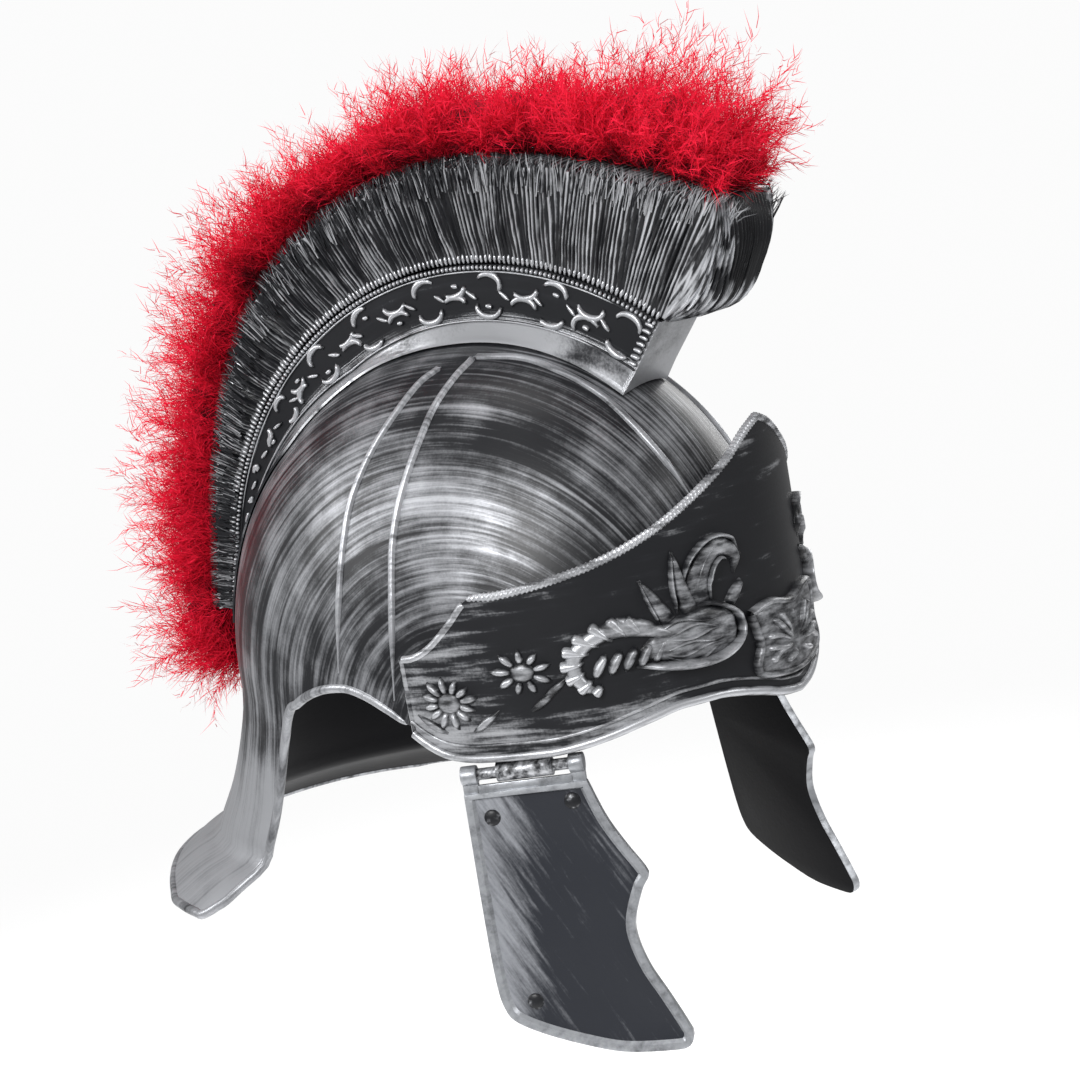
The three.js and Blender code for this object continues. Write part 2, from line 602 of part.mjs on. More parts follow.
// The two rows of beads under the comb, as one raised cord on each side
function crestBeads() {
  return [-1, 1].map((side) => loft(spread(
    CREST.front + CREST.beadEnd, CREST.back - CREST.beadEnd, CREST.steps)
    .map((angle) => [[-SINK, -CREST.bead], [CREST.bead, -CREST.bead * 0.5],
      [CREST.bead, CREST.bead * 0.5], [-SINK, CREST.bead]].map(([out, up]) =>
      crestPoint(angle, boxTop(angle) - 1.1 * CREST.bead + up, side * (CREST.halfTop + out))))));
}

// C scrolls on both panels, turned this way and that
function crestScrolls() {
  const scrolls = [];
  for (const side of [-1, 1]) {
    spread(PANEL_SCROLL.from, PANEL_SCROLL.to, PANEL_SCROLL.count - 1).forEach((angle, i) => {
      const [low, high] = [panelLow(angle), boxTop(angle) - 2 * CREST.bead];
      const middle = (low + high) / 2;
      const room = (high - low) / 2 - PANEL_SCROLL.half - PANEL_SCROLL.margin;
      const size = Math.min(PANEL_SCROLL.radius, room);
      const turn = (i % 2 ? 1 : -1) * PANEL_SCROLL.tilt
        + PANEL_SCROLL.sway * Math.sin(PANEL_SCROLL.swayStep * i);
      const line = spread(turn - PANEL_SCROLL.sweep / 2, turn + PANEL_SCROLL.sweep / 2, 3)
        .map((bend) => ({ bend }));
      const place = (row, across, height) => {
        const reach = size + across * PANEL_SCROLL.half;
        const radius = middle + reach * Math.sin(rad(row.bend));
        const wall = THREE.MathUtils.mapLinear(radius, low, high, CREST.halfLow, CREST.halfTop);
        const shift = THREE.MathUtils.radToDeg(reach * Math.cos(rad(row.bend)) / middle);
        return crestPoint(angle + shift, radius, side * (wall + height));
      };
      scrolls.push(band(line, place, PANEL_SCROLL.height));
    });
  }
  return scrolls;
}

// The comb: pleats of bristle that spread towards their tips
const combTop = (angle) => boxTop(angle) + COMB.height * look(COMB_LINE, 'angle', angle, 'up');

function combSection(angle, pleat) {
  const top = combTop(angle);
  const half = COMB.half * look(COMB_LINE, 'angle', angle, 'half');
  const foot = boxTop(angle) + SEAT;
  const side = COMB_SIDE.map((row) => [THREE.MathUtils.lerp(foot, top, row.up),
    THREE.MathUtils.lerp(COMB.base, half, row.out) - pleat * row.pleat]);
  return [...side.map(([radius, x]) => crestPoint(angle, radius, x)),
    crestPoint(angle, top + COMB.crown, 0),
    ...side.reverse().map(([radius, x]) => crestPoint(angle, radius, -x))];
}

function crestComb() {
  const front = CREST.front;
  const pleated = spread(front, CREST.back, 2 * COMB.pleats).map((angle, i) =>
    combSection(angle, i % 2 ? COMB.pleatDepth : 0));
  // The nose: the front sections belly forward and close in to a rounded end face
  const nose = NOSE_STEPS.map(({ ahead, narrow }) => combSection(front, 0).map((p) => {
    const radius = Math.hypot(p.y - CREST.centreY, p.z - CREST.centreZ);
    const up = (radius - CREST.radius) / (combTop(front) - CREST.radius);
    const belly = look(NOSE_LINE, 'up', up, 'out');
    return crestPoint(front - COMB.nose * ahead * belly, radius, p.x * narrow);
  }));
  return loft([...nose, ...pleated]);
}

// The plume: locks of feather along the comb top
function plume() {
  const steps = 2 * PLUME.locks;
  const [first, last] = [PLUME_LINE[0], PLUME_LINE[PLUME_LINE.length - 1]];
  const rings = spread(first.angle, last.angle, steps).map((angle, i) => {
    const up = PLUME.height * look(PLUME_LINE, 'angle', angle, 'up');
    const half = PLUME.half * look(PLUME_LINE, 'angle', angle, 'half');
    return Array.from({ length: PLUME.sides }, (_, j) => {
      const turn = 2 * Math.PI * (j + 0.5) / PLUME.sides - Math.PI / 2;
      const wobble = PLUME.wobble * Math.sin(PLUME.wobbleAlong * i + PLUME.wobbleRound * j);
      const lock = 1 - PLUME.lockDepth * ((i + j) % 2) - wobble;
      const lean = angle + PLUME.lean * Math.sin(turn);
      const foot = combTop(lean) + COMB.crown + SEAT + PLUME.allowance;
      const rise = foot + up * (1 + Math.sin(turn) * lock) / 2;
      return crestPoint(lean, Math.max(foot, rise), half * Math.cos(turn) * lock);
    });
  });
  return loft(rings);
}

// Hinge and cheek guard

// Axes of the hinge on one side: its rear end, its direction, down the guard and outwards
function hingeFrame(side) {
  const low = BROW.peak * Math.min(...BROW_EDGE.map((row) => row.low));
  const rear = browPoint(side * HINGE.turnRear, low - HINGE.outer - HINGE.running, HINGE.outset);
  const along = new THREE.Vector3(-side * Math.sin(rad(HINGE.toeIn)), -Math.cos(rad(HINGE.toeIn)), 0);
  const out = new THREE.Vector3(side * Math.cos(rad(HINGE.toeIn)), -Math.sin(rad(HINGE.toeIn)), 0);
  return { rear, along, out };
}

// Matrix from (a, out, up) of a hinge to the helmet
function hingeMatrix(side, splay) {
  const { rear, along, out } = hingeFrame(side);
  const up = new THREE.Vector3(0, 0, Math.cos(rad(splay)))
    .addScaledVector(out, -Math.sin(rad(splay)));
  const outward = out.clone().multiplyScalar(Math.cos(rad(splay)))
    .add(new THREE.Vector3(0, 0, Math.sin(rad(splay))));
  return new THREE.Matrix4().makeBasis(along, outward, up).setPosition(rear);
}

// A prism of a closed outline in (x, y) between two depths, as a welded solid
function prism(outline, from, to) {
  const shape = new THREE.Shape(outline.map(([x, y]) => new THREE.Vector2(x, y)));
  const geometry = new THREE.ExtrudeGeometry(shape, { depth: to - from, bevelEnabled: false });
  return weld(geometry.translate(0, 0, from));
}

const roundOutline = (x, y, radius, sides) => Array.from({ length: sides }, (_, i) => {
  const angle = 2 * Math.PI * (i + 0.5) / sides;
  return [x + radius * Math.cos(angle), y + radius * Math.sin(angle)];
});

// A sleeve or rod along the hinge, drawn in (out, up) and run along a
function alongHinge(outline, from, to) {
  const turned = new THREE.Matrix4().makeBasis(
    new THREE.Vector3(0, 1, 0), new THREE.Vector3(0, 0, 1), new THREE.Vector3(1, 0, 0));
  return prism(outline, from, to).transform(turned.elements);
}

const bore = (HINGE.pin + SEAT) / Math.cos(Math.PI / HINGE.sides);

function knuckle(from, to) {
  return alongHinge(roundOutline(0, 0, HINGE.outer, HINGE.sides), from, to)
    .subtract(alongHinge(roundOutline(0, 0, bore, HINGE.sides), from - 1, to + 1));
}

// Places along the hinge where its knuckles start and end
const SPOTS = {
  rear: [0, HINGE.endRear],
  middle: [HINGE.endRear + HINGE.windowRear, HINGE.length - HINGE.endFront - HINGE.windowFront],
  front: [HINGE.length - HINGE.endFront, HINGE.length],
};

function hingeLeaf() {
  const [from, to] = SPOTS.middle;
  const mid = -HINGE.leafOffset;
  const [inner, outer] = [mid - HINGE.leafThick / 2, mid + HINGE.leafThick / 2];
  const plate = alongHinge([[inner, bore + HINGE.root], [outer, bore + HINGE.root],
    [outer, HINGE.leafRise], [inner, HINGE.leafRise]], from, to);
  return knuckle(from, to).add(plate);
}

const hingePin = () => alongHinge(roundOutline(0, 0, HINGE.pin, HINGE.sides),
  SPOTS.rear[0] + HINGE.running, SPOTS.front[1] - HINGE.running);

// Outline moved inwards by a distance, corner by corner
function insetOutline(outline, distance) {
  const count = outline.length;
  return outline.map((p, i) => {
    const before = outline[(i + count - 1) % count];
    const after = outline[(i + 1) % count];
    const one = new THREE.Vector2(p[0] - before[0], p[1] - before[1]).normalize();
    const two = new THREE.Vector2(after[0] - p[0], after[1] - p[1]).normalize();
    const blend = one.clone().add(two).normalize();
    const stretch = distance / Math.max(0.6, blend.dot(one));
    return [p[0] - blend.y * stretch, p[1] + blend.x * stretch];
  });
}

function cheekGuard() {
  const outline = CHEEK_LINE.map(({ along, down }) => [along * CHEEK.width, -down * CHEEK.length]);
  const inner = insetOutline(outline, CHEEK.rimWidth);
  // Plates are drawn in (a, up) and thickened outwards
  const stand = new THREE.Matrix4().makeBasis(
    new THREE.Vector3(1, 0, 0), new THREE.Vector3(0, 0, 1), new THREE.Vector3(0, -1, 0));
  const plate = (shape, from, to) => prism(shape, -to, -from).transform(stand.elements);
  const back = -CHEEK.wall / 2;
  const face = CHEEK.wall / 2;
  const rim = plate(outline, back, face + CHEEK.rim)
    .subtract(plate(inner, face, face + 2 * CHEEK.rim));
  const rivets = CHEEK_RIVETS.map(({ along, down }) => plate(
    roundOutline(along * CHEEK.width, -down * CHEEK.length, CHEEK.rivet, CHEEK.rivetSides),
    0, face + CHEEK.rivetHeight));
  const web = ([from, to]) => alongHinge([[back, -CHEEK.top - 1], [face, -CHEEK.top - 1],
    [face, -bore - HINGE.root], [back, -bore - HINGE.root]], from, to);
  const ends = [SPOTS.rear, SPOTS.front].flatMap((spot) => [knuckle(...spot), web(spot)]);
  return fuse([rim, ...rivets, ...ends]);
}

// The helmet

const helmet = new THREE.Group();

const BLACK = { color: 0x1d1e21, roughness: 0.45, metalness: 0.35 };
const SILVERED = { color: 0x6f7276, roughness: 0.4, metalness: 0.5 };
const RED = { color: 0xb00818, roughness: 0.95, metalness: 0 };

function add(name, body, look) {
  const mesh = body.getMesh();
  const geometry = new THREE.BufferGeometry();
  geometry.setAttribute('position', new THREE.BufferAttribute(mesh.vertProperties, 3));
  geometry.setIndex(new THREE.BufferAttribute(mesh.triVerts, 1));
  geometry.computeVertexNormals();
  const piece = new THREE.Mesh(geometry, new THREE.MeshStandardMaterial(look));
  piece.name = name;
  helmet.add(piece);
}

add('skull', skull(), SILVERED);
add('brow_plate', browPlate(), BLACK);
add('crest_box', crestBox(), BLACK);
add('crest_comb', crestComb(), BLACK);
add('plume', plume(), RED);
for (const [name, side] of [['right', -1], ['left', 1]]) {
  const still = hingeMatrix(side, 0);
  const hung = hingeMatrix(side, HINGE.splay);
  add(`hinge_leaf_${name}`, hingeLeaf().transform(still.elements), SILVERED);
  add(`hinge_pin_${name}`, hingePin().transform(still.elements), BLACK);
  add(`cheek_guard_${name}`, cheekGuard().transform(hung.elements), SILVERED);
}

export default helmet;
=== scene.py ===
# %% [markdown]
# A roman legionary costume helmet: black moulded plastic, dry-brushed with silver paint,
# under a plume of red marabou feather. The CAD part gives every size and place. The looks
# are built on top of it, piece by piece and in the same frame, and each fine piece takes
# the place of the plain solid that stands for it.

import math

import bpy
import numpy as np
from mathutils import Matrix, Vector


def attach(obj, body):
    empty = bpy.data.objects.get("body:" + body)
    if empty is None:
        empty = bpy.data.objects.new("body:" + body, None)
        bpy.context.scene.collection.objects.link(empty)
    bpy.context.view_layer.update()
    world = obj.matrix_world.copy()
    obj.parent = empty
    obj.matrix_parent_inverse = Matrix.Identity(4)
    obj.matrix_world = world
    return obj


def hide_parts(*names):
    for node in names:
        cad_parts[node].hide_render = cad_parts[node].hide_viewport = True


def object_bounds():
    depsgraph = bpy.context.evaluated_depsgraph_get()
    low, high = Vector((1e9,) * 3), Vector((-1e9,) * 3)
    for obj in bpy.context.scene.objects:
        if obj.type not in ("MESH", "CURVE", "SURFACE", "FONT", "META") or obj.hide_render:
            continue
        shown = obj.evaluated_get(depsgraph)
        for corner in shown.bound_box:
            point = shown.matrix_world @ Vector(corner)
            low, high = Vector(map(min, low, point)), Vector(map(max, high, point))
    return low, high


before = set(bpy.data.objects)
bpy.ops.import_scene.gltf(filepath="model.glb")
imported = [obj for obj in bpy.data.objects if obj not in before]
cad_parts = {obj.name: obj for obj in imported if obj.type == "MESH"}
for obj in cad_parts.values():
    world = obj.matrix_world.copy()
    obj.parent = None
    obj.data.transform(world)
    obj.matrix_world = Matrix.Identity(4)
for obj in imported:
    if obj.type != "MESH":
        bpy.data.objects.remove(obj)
cad_box = [list(corner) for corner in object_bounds()]
bpy.ops.object.select_all(action="DESELECT")
print("CAD box, metres:", cad_box)

# %% [markdown]
# Every measure below is in millimetres, as on a drawing, and is turned to metres once,
# when it is written into a mesh. The rim, the neck and the ribs of the real moulding are
# free lines that no circle or ellipse follows. They could be drawn as Bezier curves by
# hand. Short tables were chosen, with a smooth curve through each one, because the same
# line then serves the shell, its rolled edge and its brushed finish.

# %% Measures and tables
MM = 0.001
SEED = 7
random = np.random.default_rng(SEED)

WALL = 2.4
SKULL_HALF, SKULL_FRONT, SKULL_BACK, DOME = 94.5, 131.0, 143.0, 142.0
CENTRE_Y, BELT_Z = 28.0, 12.0
NECK_REACH, NECK_FLARE, CREASE_Z, CREASE_GAP = 87.0, 61.0, -58.0, 12.0

RIM = {
    "turn": [0, 26, 54, 80, 87.5, 91, 95, 100.5, 107, 113.8, 117.8, 119.3, 120.6, 121.4,
             121.9, 122.4, 123.1, 124.8, 128, 133.5, 141, 150, 164, 180],
    "drop": [0.069, 0.069, 0.069, 0.06, 0.029, -0.035, -0.098, -0.1375, -0.116, -0.04,
             0.03, 0.115, 0.264, 0.467, 0.64, 0.79, 0.885, 0.96, 1, 1, 0.98, 0.965,
             0.962, 0.965],
}
FLARE = {
    "down": [0, 0.1375, 0.251, 0.391, 0.54, 0.69, 0.8046, 0.86, 1],
    "behind": [0, 0.04, 0.097, 0.18, 0.285, 0.424, 0.553, 0.71, 1],
    "side": [0, 0.018, 0.044, 0.081, 0.128, 0.19, 0.25, 0.4, 0.7],
}
RIBS = [
    {"turn": [89, 87.2, 86.5, 84.4, 80.7, 76, 68, 57],
     "up": [0.05, 0.29, 0.49, 0.63, 0.75, 0.845, 0.91, 0.951]},
    {"turn": [100.6, 99.4, 99, 98.2, 94.5, 87, 77],
     "up": [0.13, 0.345, 0.53, 0.64, 0.775, 0.894, 0.937]},
    {"turn": [57, 36.5, 27.8, 22.6, 20.2, 18, 16.2],
     "up": [0.951, 0.93, 0.88, 0.803, 0.69, 0.577, 0.48]},
]


def curve(table, key, at, name):
    """A smooth curve through two columns of a table that never overshoots its rows."""
    x = np.array(table[key], float)
    y = np.array(table[name], float)
    step = np.diff(x)
    rise = np.diff(y) / step
    inner = (rise[:-1] * step[1:] + rise[1:] * step[:-1]) / (step[1:] + step[:-1])
    inner[rise[:-1] * rise[1:] <= 0] = 0
    slope = np.concatenate([[rise[0]], inner, [rise[-1]]])
    at = np.clip(at, x[0], x[-1])
    i = np.clip(np.searchsorted(x, at, side="right") - 1, 0, len(x) - 2)
    t = (at - x[i]) / step[i]
    start = (1 + 2 * t) * (1 - t) ** 2 * y[i] + t * (1 - t) ** 2 * step[i] * slope[i]
    end = t * t * (3 - 2 * t) * y[i + 1] + t * t * (t - 1) * step[i] * slope[i + 1]
    return start + end


def ease(value, low, high):
    """0 below low, 1 above high and a smooth step between."""
    t = np.clip((value - low) / (high - low), 0, 1)
    return t * t * (3 - 2 * t)


def hill(value, low, high):
    """1 in the middle of a span and 0 at its ends."""
    middle = (low + high) / 2
    return ease(value, low, middle) * (1 - ease(value, middle, high))


print("tables:", len(RIM["turn"]), "rim rows,", len(RIBS), "ribs a side")

# %% [markdown]
# Most pieces of this helmet are thin mouldings that follow a known surface. Such a shell
# could be sculpted from a sphere, but its rim would then be cut across the faces. Here a
# grid primitive is laid over the surface, so that its edges run along the rim: its two
# directions become two measures of the surface, its seams are merged, and a Solidify
# modifier gives it its wall.

# %% Helpers for every piece
def coordinates(piece):
    """The vertices of a piece in millimetres."""
    flat = np.empty(len(piece.data.vertices) * 3)
    piece.data.vertices.foreach_get("co", flat)
    return flat.reshape(-1, 3) / MM


def reshape(piece, points):
    """Writes points in millimetres into a piece."""
    piece.data.vertices.foreach_set("co", (points * MM).ravel())
    piece.data.update()


def pick(piece):
    """Selects one piece alone and makes it the active one."""
    bpy.ops.object.select_all(action="DESELECT")
    piece.select_set(True)
    bpy.context.view_layer.objects.active = piece


def primitive(name, add, **sizes):
    """A named primitive, added with nothing else selected."""
    bpy.ops.object.select_all(action="DESELECT")
    add(**sizes)
    piece = bpy.context.object
    piece.name = piece.data.name = name
    return piece


def own_units(piece):
    """The vertices of a primitive that is one or two units wide."""
    return coordinates(piece) * MM


def edit_all():
    """Goes into edit mode with the whole mesh selected."""
    bpy.ops.object.mode_set(mode="EDIT")
    bpy.ops.mesh.select_all(action="SELECT")


def modify(piece, kind, **settings):
    """Adds a modifier to the active piece, sets it and applies it."""
    modifier = piece.modifiers.new(kind.lower(), kind)
    for key, value in settings.items():
        setattr(modifier, key, value)
    bpy.ops.object.modifier_apply(modifier=modifier.name)


def soften(piece, degrees=40):
    """Smooth shading that keeps the real edges."""
    pick(piece)
    bpy.ops.object.shade_smooth_by_angle(angle=math.radians(degrees))


def join(name, pieces):
    """Several pieces made one."""
    pick(pieces[0])
    for piece in pieces:
        piece.select_set(True)
    bpy.ops.object.join()
    pieces[0].name = pieces[0].data.name = name
    return pieces[0]


print("helpers for pieces ready")

# %% Helpers for shells
MERGE = 0.002


def close_up(holes):
    """Merges the seams, closes open ends and turns the faces outwards."""
    edit_all()
    bpy.ops.mesh.remove_doubles(threshold=MERGE * MM)
    if holes:
        bpy.ops.mesh.fill_holes(sides=0)
    bpy.ops.mesh.normals_make_consistent(inside=False)
    bpy.ops.object.mode_set(mode="OBJECT")


def grid(name, columns, rows, place, wall=0.0, holes=False):
    """A grid laid over a surface: place takes two shares from 0 to 1 and gives points."""
    piece = primitive(name, bpy.ops.mesh.primitive_grid_add,
                      x_subdivisions=columns, y_subdivisions=rows, size=1)
    flat = own_units(piece)
    reshape(piece, place(flat[:, 0] + 0.5, flat[:, 1] + 0.5))
    close_up(holes)
    if wall:
        modify(piece, "SOLIDIFY", thickness=wall * MM, offset=-1)
    soften(piece)
    return piece


def unit(vectors):
    """Vectors made one long."""
    return vectors / np.maximum(np.linalg.norm(vectors, axis=-1, keepdims=True), 1e-9)


FINE_STEPS = 24


def resample(points, count):
    """Even points along a smooth line through given ones."""
    points = np.array(points, float)
    ends = [2 * points[0] - points[1], *points, 2 * points[-1] - points[-2]]
    fine = []
    for a, b, c, d in zip(ends, ends[1:], ends[2:], ends[3:]):
        t = np.linspace(0, 1, FINE_STEPS, endpoint=False)[:, None]
        fine.append(0.5 * (2 * b + (c - a) * t + (2 * a - 5 * b + 4 * c - d) * t ** 2
                           + (3 * b - a - 3 * c + d) * t ** 3))
    fine = np.vstack([*fine, [points[-1]]])
    run = np.concatenate([[0], np.cumsum(np.linalg.norm(np.diff(fine, axis=0), axis=1))])
    even = np.linspace(0, run[-1], count)
    return np.stack([np.interp(even, run, fine[:, k]) for k in range(points.shape[1])], 1)


def at_share(values, share):
    """Rows of an array looked up at shares from 0 to 1."""
    values = np.asarray(values, float)
    spot = share * (len(values) - 1)
    low = np.clip(spot.astype(int), 0, len(values) - 2)
    part = spot - low
    if values.ndim == 2:
        part = part[:, None]
    return values[low] * (1 - part) + values[low + 1] * part


RIDGE_SINK = 0.8


def ridge(name, path, normal, half, height, columns, rows=8):
    """A rounded raised line on a surface, as wide and as high as its two lists say."""
    along = unit(np.gradient(path, axis=0))
    across = unit(np.cross(along, normal))

    def place(u, v):
        side = 2 * v - 1
        width = at_share(half, u)
        crown = at_share(height, u) * np.sqrt(np.clip(1 - side ** 2, 0, 1))
        crown = crown - RIDGE_SINK * side ** 6
        return (at_share(path, u) + at_share(across, u) * (side * width)[:, None]
                + at_share(normal, u) * crown[:, None])

    return grid(name, columns, rows, place)


def tube(name, path, normal, radius, columns, sides=12, twist=0, groove=0.0):
    """A rod or a rope of two twisted strands along a path, closed at its ends."""
    along = unit(np.gradient(path, axis=0))
    across = unit(np.cross(along, normal))
    up = unit(np.cross(across, along))

    def place(u, v):
        angle = 2 * math.pi * v
        lay = 1 - groove * np.abs(np.sin(angle + 2 * math.pi * twist * u))
        taper = np.sqrt(np.clip(1 - np.abs(2 * u - 1) ** 60, 0, 1))
        reach = (radius * lay * taper)[:, None]
        return (at_share(path, u) + at_share(across, u) * reach * np.cos(angle)[:, None]
                + at_share(up, u) * reach * np.sin(angle)[:, None])

    return grid(name, columns, sides, place, holes=True)


print("helpers for shells ready")

# %% [markdown]
# A piece of the real helmet is painted after it is moulded, and the brush catches its
# raised parts. That could be an image laid over each piece. A number and a direction for
# every vertex were chosen, because they follow the relief however fine it is. They say
# how much silver the spot caught and which way the brush went there.

# %% Helpers for paint and place
def mark(piece, name, values):
    """Keeps a number or a vector for every vertex, for the material to read."""
    values = np.asarray(values, float)
    kind, field = ("FLOAT", "value") if values.ndim == 1 else ("FLOAT_VECTOR", "vector")
    layer = piece.data.attributes.new(name, kind, "POINT")
    layer.data.foreach_set(field, values.ravel())


def brush(piece, grain, cover):
    """Keeps which way the brush went and how much silver it left."""
    mark(piece, "grain", grain)
    mark(piece, "cover", cover)


def dress(piece, paint, body, inside=None):
    """Gives a piece its paint and its body, and a walled shell its inner paint."""
    piece.data.materials.clear()
    piece.data.materials.append(paint)
    # Inner faces get the inner paint: bare black plastic, darkened as painted shade.
    if inside:
        piece.data.materials.append(inside)
        inner = len(piece.data.vertices) // 2
        for face in piece.data.polygons:
            if min(face.vertices) >= inner:
                face.material_index = 1
    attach(piece, body)


def new_piece(name, data):
    """Puts a mesh, a lamp or a camera into the scene."""
    made = bpy.data.objects.new(name, data)
    bpy.context.scene.collection.objects.link(made)
    return made


print("helpers for paint ready")

# %% [markdown]
# Silver dry-brushing is the finish of the whole helmet: a nearly dry brush is dragged
# over black plastic, so paint stays on ridges and in long streaks along the stroke. It
# could be one noise in all directions, but that looks like marble. Here the noise is
# read from the grain attribute and stretched along the stroke, and the cover attribute
# raises or lowers it until the right share of it turns silver. One recipe serves all.

# %% A small language for shaders
class Link:
    """A socket that can stand in a sum."""

    def __init__(self, paint, socket):
        self.paint = paint
        self.socket = socket

    def maths(self, operation, *values):
        return self.paint.node("ShaderNodeMath", {"operation": operation}, dict(enumerate(values)))

    def __add__(self, other):
        return self.maths("ADD", self, other)

    def __sub__(self, other):
        return self.maths("SUBTRACT", self, other)

    def __rsub__(self, other):
        return self.maths("SUBTRACT", other, self)

    def __mul__(self, other):
        return self.maths("MULTIPLY", self, other)

    __radd__ = __add__
    __rmul__ = __mul__


class Paint:
    """A material and the one method that adds nodes to it."""

    def __init__(self, name):
        self.material = bpy.data.materials.new(name)
        self.material.use_nodes = True
        self.tree = self.material.node_tree
        self.tree.nodes.clear()

    def node(self, kind, settings=None, inputs=None, out=0):
        made = self.tree.nodes.new(kind)
        for key, value in (settings or {}).items():
            setattr(made, key, value)
        for key, value in (inputs or {}).items():
            if isinstance(value, Link):
                self.tree.links.new(value.socket, made.inputs[key])
            else:
                made.inputs[key].default_value = value
        return Link(self, made.outputs[out])

    def attribute(self, name, out):
        return self.node("ShaderNodeAttribute", {"attribute_name": name}, out=out)

    def stretch(self, vector, scale):
        return self.node("ShaderNodeVectorMath", {"operation": "MULTIPLY"}, {0: vector, 1: scale})

    def noise(self, vector, detail=4.0, scale=1.0, roughness=0.55):
        return self.node("ShaderNodeTexNoise", {}, {
            "Vector": vector, "Scale": scale, "Detail": detail, "Roughness": roughness})

    def step(self, value, low, high):
        return self.node("ShaderNodeMapRange", {"interpolation_type": "SMOOTHSTEP"}, {
            "Value": value, "From Min": low, "From Max": high})

    def blend(self, share, one, two):
        return self.node("ShaderNodeMix", {"data_type": "RGBA"}, {0: share, 6: one, 7: two}, out=2)

    def finish(self, sockets, fixed):
        shader = self.node("ShaderNodeBsdfPrincipled", {}, {**fixed, **sockets})
        last = self.tree.nodes.new("ShaderNodeOutputMaterial")
        self.tree.links.new(shader.socket, last.inputs["Surface"])
        return self.material


print("shader language ready")

# %% The dry-brushed finish
BLACK = (0.011, 0.0115, 0.0135, 1)
SOOT = (0.026, 0.0275, 0.032, 1)
SILVER = (0.53, 0.54, 0.565, 1)
BROAD = 0.28
HAIR, DRAG, SPECK = 1.5, 1.2, 0.25
SOFT_END = 0.12
BUMP_STRENGTH, BUMP_DEPTH = 0.35, 0.35


def brushed(name, stroke, hard, black=BLACK, silver=SILVER, grain=None, cover=None, patchy=0.7,
            gloss=0.27):
    """Black plastic with silver dragged over it in fine hairs, broad drags and patches."""
    paint = Paint(name)
    grain = grain(paint) if grain else paint.attribute("grain", 1)
    if cover is None:
        cover = paint.attribute("cover", 2)
    elif callable(cover):
        cover = cover(paint)
    place = paint.node("ShaderNodeTexCoord", out=3)
    hair = paint.noise(paint.stretch(grain, stroke), detail=5)
    drag = paint.noise(paint.stretch(grain, tuple(s * BROAD for s in stroke)), detail=3)
    cloud = paint.noise(place, detail=3, scale=38)
    speck = paint.noise(place, detail=2, scale=900)
    level = (hair - 0.5) * HAIR + (drag - 0.5) * DRAG + (cloud - 0.5) * patchy + cover
    mask = paint.step(level + (speck - 0.5) * SPECK, 0.5 - hard / 2, 0.5 + hard / 2 + SOFT_END)
    haze = paint.step(level, 0.05, 0.75)
    base = paint.blend(haze * 0.75, black, SOOT)
    colour = paint.blend(mask * 0.9, base, silver)
    height = paint.node("ShaderNodeBump", {}, {
        "Strength": BUMP_STRENGTH, "Distance": BUMP_DEPTH * MM,
        "Height": mask * 0.6 + hair * 0.5 + speck * 0.2})
    return paint.finish(
        {"Base Color": colour, "Metallic": mask * 0.62, "Roughness": 0.36 + (cloud - 0.5) * 0.12,
         "Normal": height},
        {"Specular IOR Level": gloss, "IOR": 1.5})


def own_place(paint):
    """The piece's own coordinates, where the brush had no direction."""
    return paint.node("ShaderNodeTexCoord", out=3)


SMALL_STROKE = (160, 420, 420)
# Inner faces: bare black plastic without silver, as on the real helmet, in a deeper black and with less
# gloss than the outside: the darker black is painted shade inside the shell.
inside_bare_and_shade_paint = brushed("inside_bare_black_plastic_painted_shade", stroke=SMALL_STROKE, hard=0.5,
                       black=(0.004, 0.004, 0.005, 1), grain=own_place, cover=-0.4, gloss=0.05)
print("paint:", inside_bare_and_shade_paint.name)

# %% [markdown]
# The skull is an egg, fuller behind, whose wall runs down into a neck, turns out at a
# crease and ends in the shelf of the neck guard. It could be a scaled sphere with the
# neck extruded from it. One formula for dome, neck and shelf was chosen, because the
# ribs, the rim and the crest's foot have to lie on the very same surface. The grid's
# columns crowd together at the ear, where the rim turns sharply.

# %% Surface of the skull
def fullness(cos):
    """2 where the dome is an ellipse, and more towards its fuller forehead."""
    return 2 + 0.3 * np.maximum(0, cos) ** 2


def skull_point(turn, z):
    """Points of the outer surface at turns from the face, in degrees, and heights."""
    cos = np.cos(np.radians(turn))
    sin = np.sin(np.radians(turn))
    full = fullness(cos)
    up = np.clip((z - BELT_Z) / DOME, 0, 1)
    round_off = (1 - up ** full) ** (1 / full)
    flare = NECK_FLARE * ease(-cos, -0.35, 0.75)
    down = (BELT_Z - z) / NECK_REACH
    reach = np.where(cos > 0, SKULL_FRONT, SKULL_BACK)
    x = sin * (SKULL_HALF * round_off + flare * curve(FLARE, "down", down, "side"))
    y = CENTRE_Y - cos * (reach * round_off + flare * curve(FLARE, "down", down, "behind"))
    return np.stack([x, y, z + 0 * x], 1)


NEARBY = 0.4


def skull_normal(turn, z):
    here = skull_point(turn, z)
    aside = skull_point(turn + NEARBY, z) - here
    below = skull_point(turn, z - NEARBY) - here
    return -unit(np.cross(aside, below))


def rim_height(turn):
    return BELT_Z - NECK_REACH * curve(RIM, "turn", np.abs(turn), "drop")


def crease_height(turn):
    return np.maximum(CREASE_Z, rim_height(turn) + CREASE_GAP)


def dome_height(turn, share):
    """Heights at even steps over the dome and down to the crease."""
    crease = crease_height(turn)
    rise = (crease - BELT_Z) / DOME
    end = np.where(rise > 0, np.arccos(np.clip(rise, 0, 1)), math.pi / 2 - rise)
    angle = end * share
    return BELT_Z + DOME * np.where(angle < math.pi / 2, np.cos(angle), math.pi / 2 - angle)


def shelf_height(turn, share):
    """Heights from the crease to the rim."""
    crease = crease_height(turn)
    return crease + (rim_height(turn) - crease) * share


DOME_SHARE = 0.72
CROWD = {"share": [0, 0.3, 0.5, 0.75, 1], "turn": [0, 82, 112, 131, 180]}


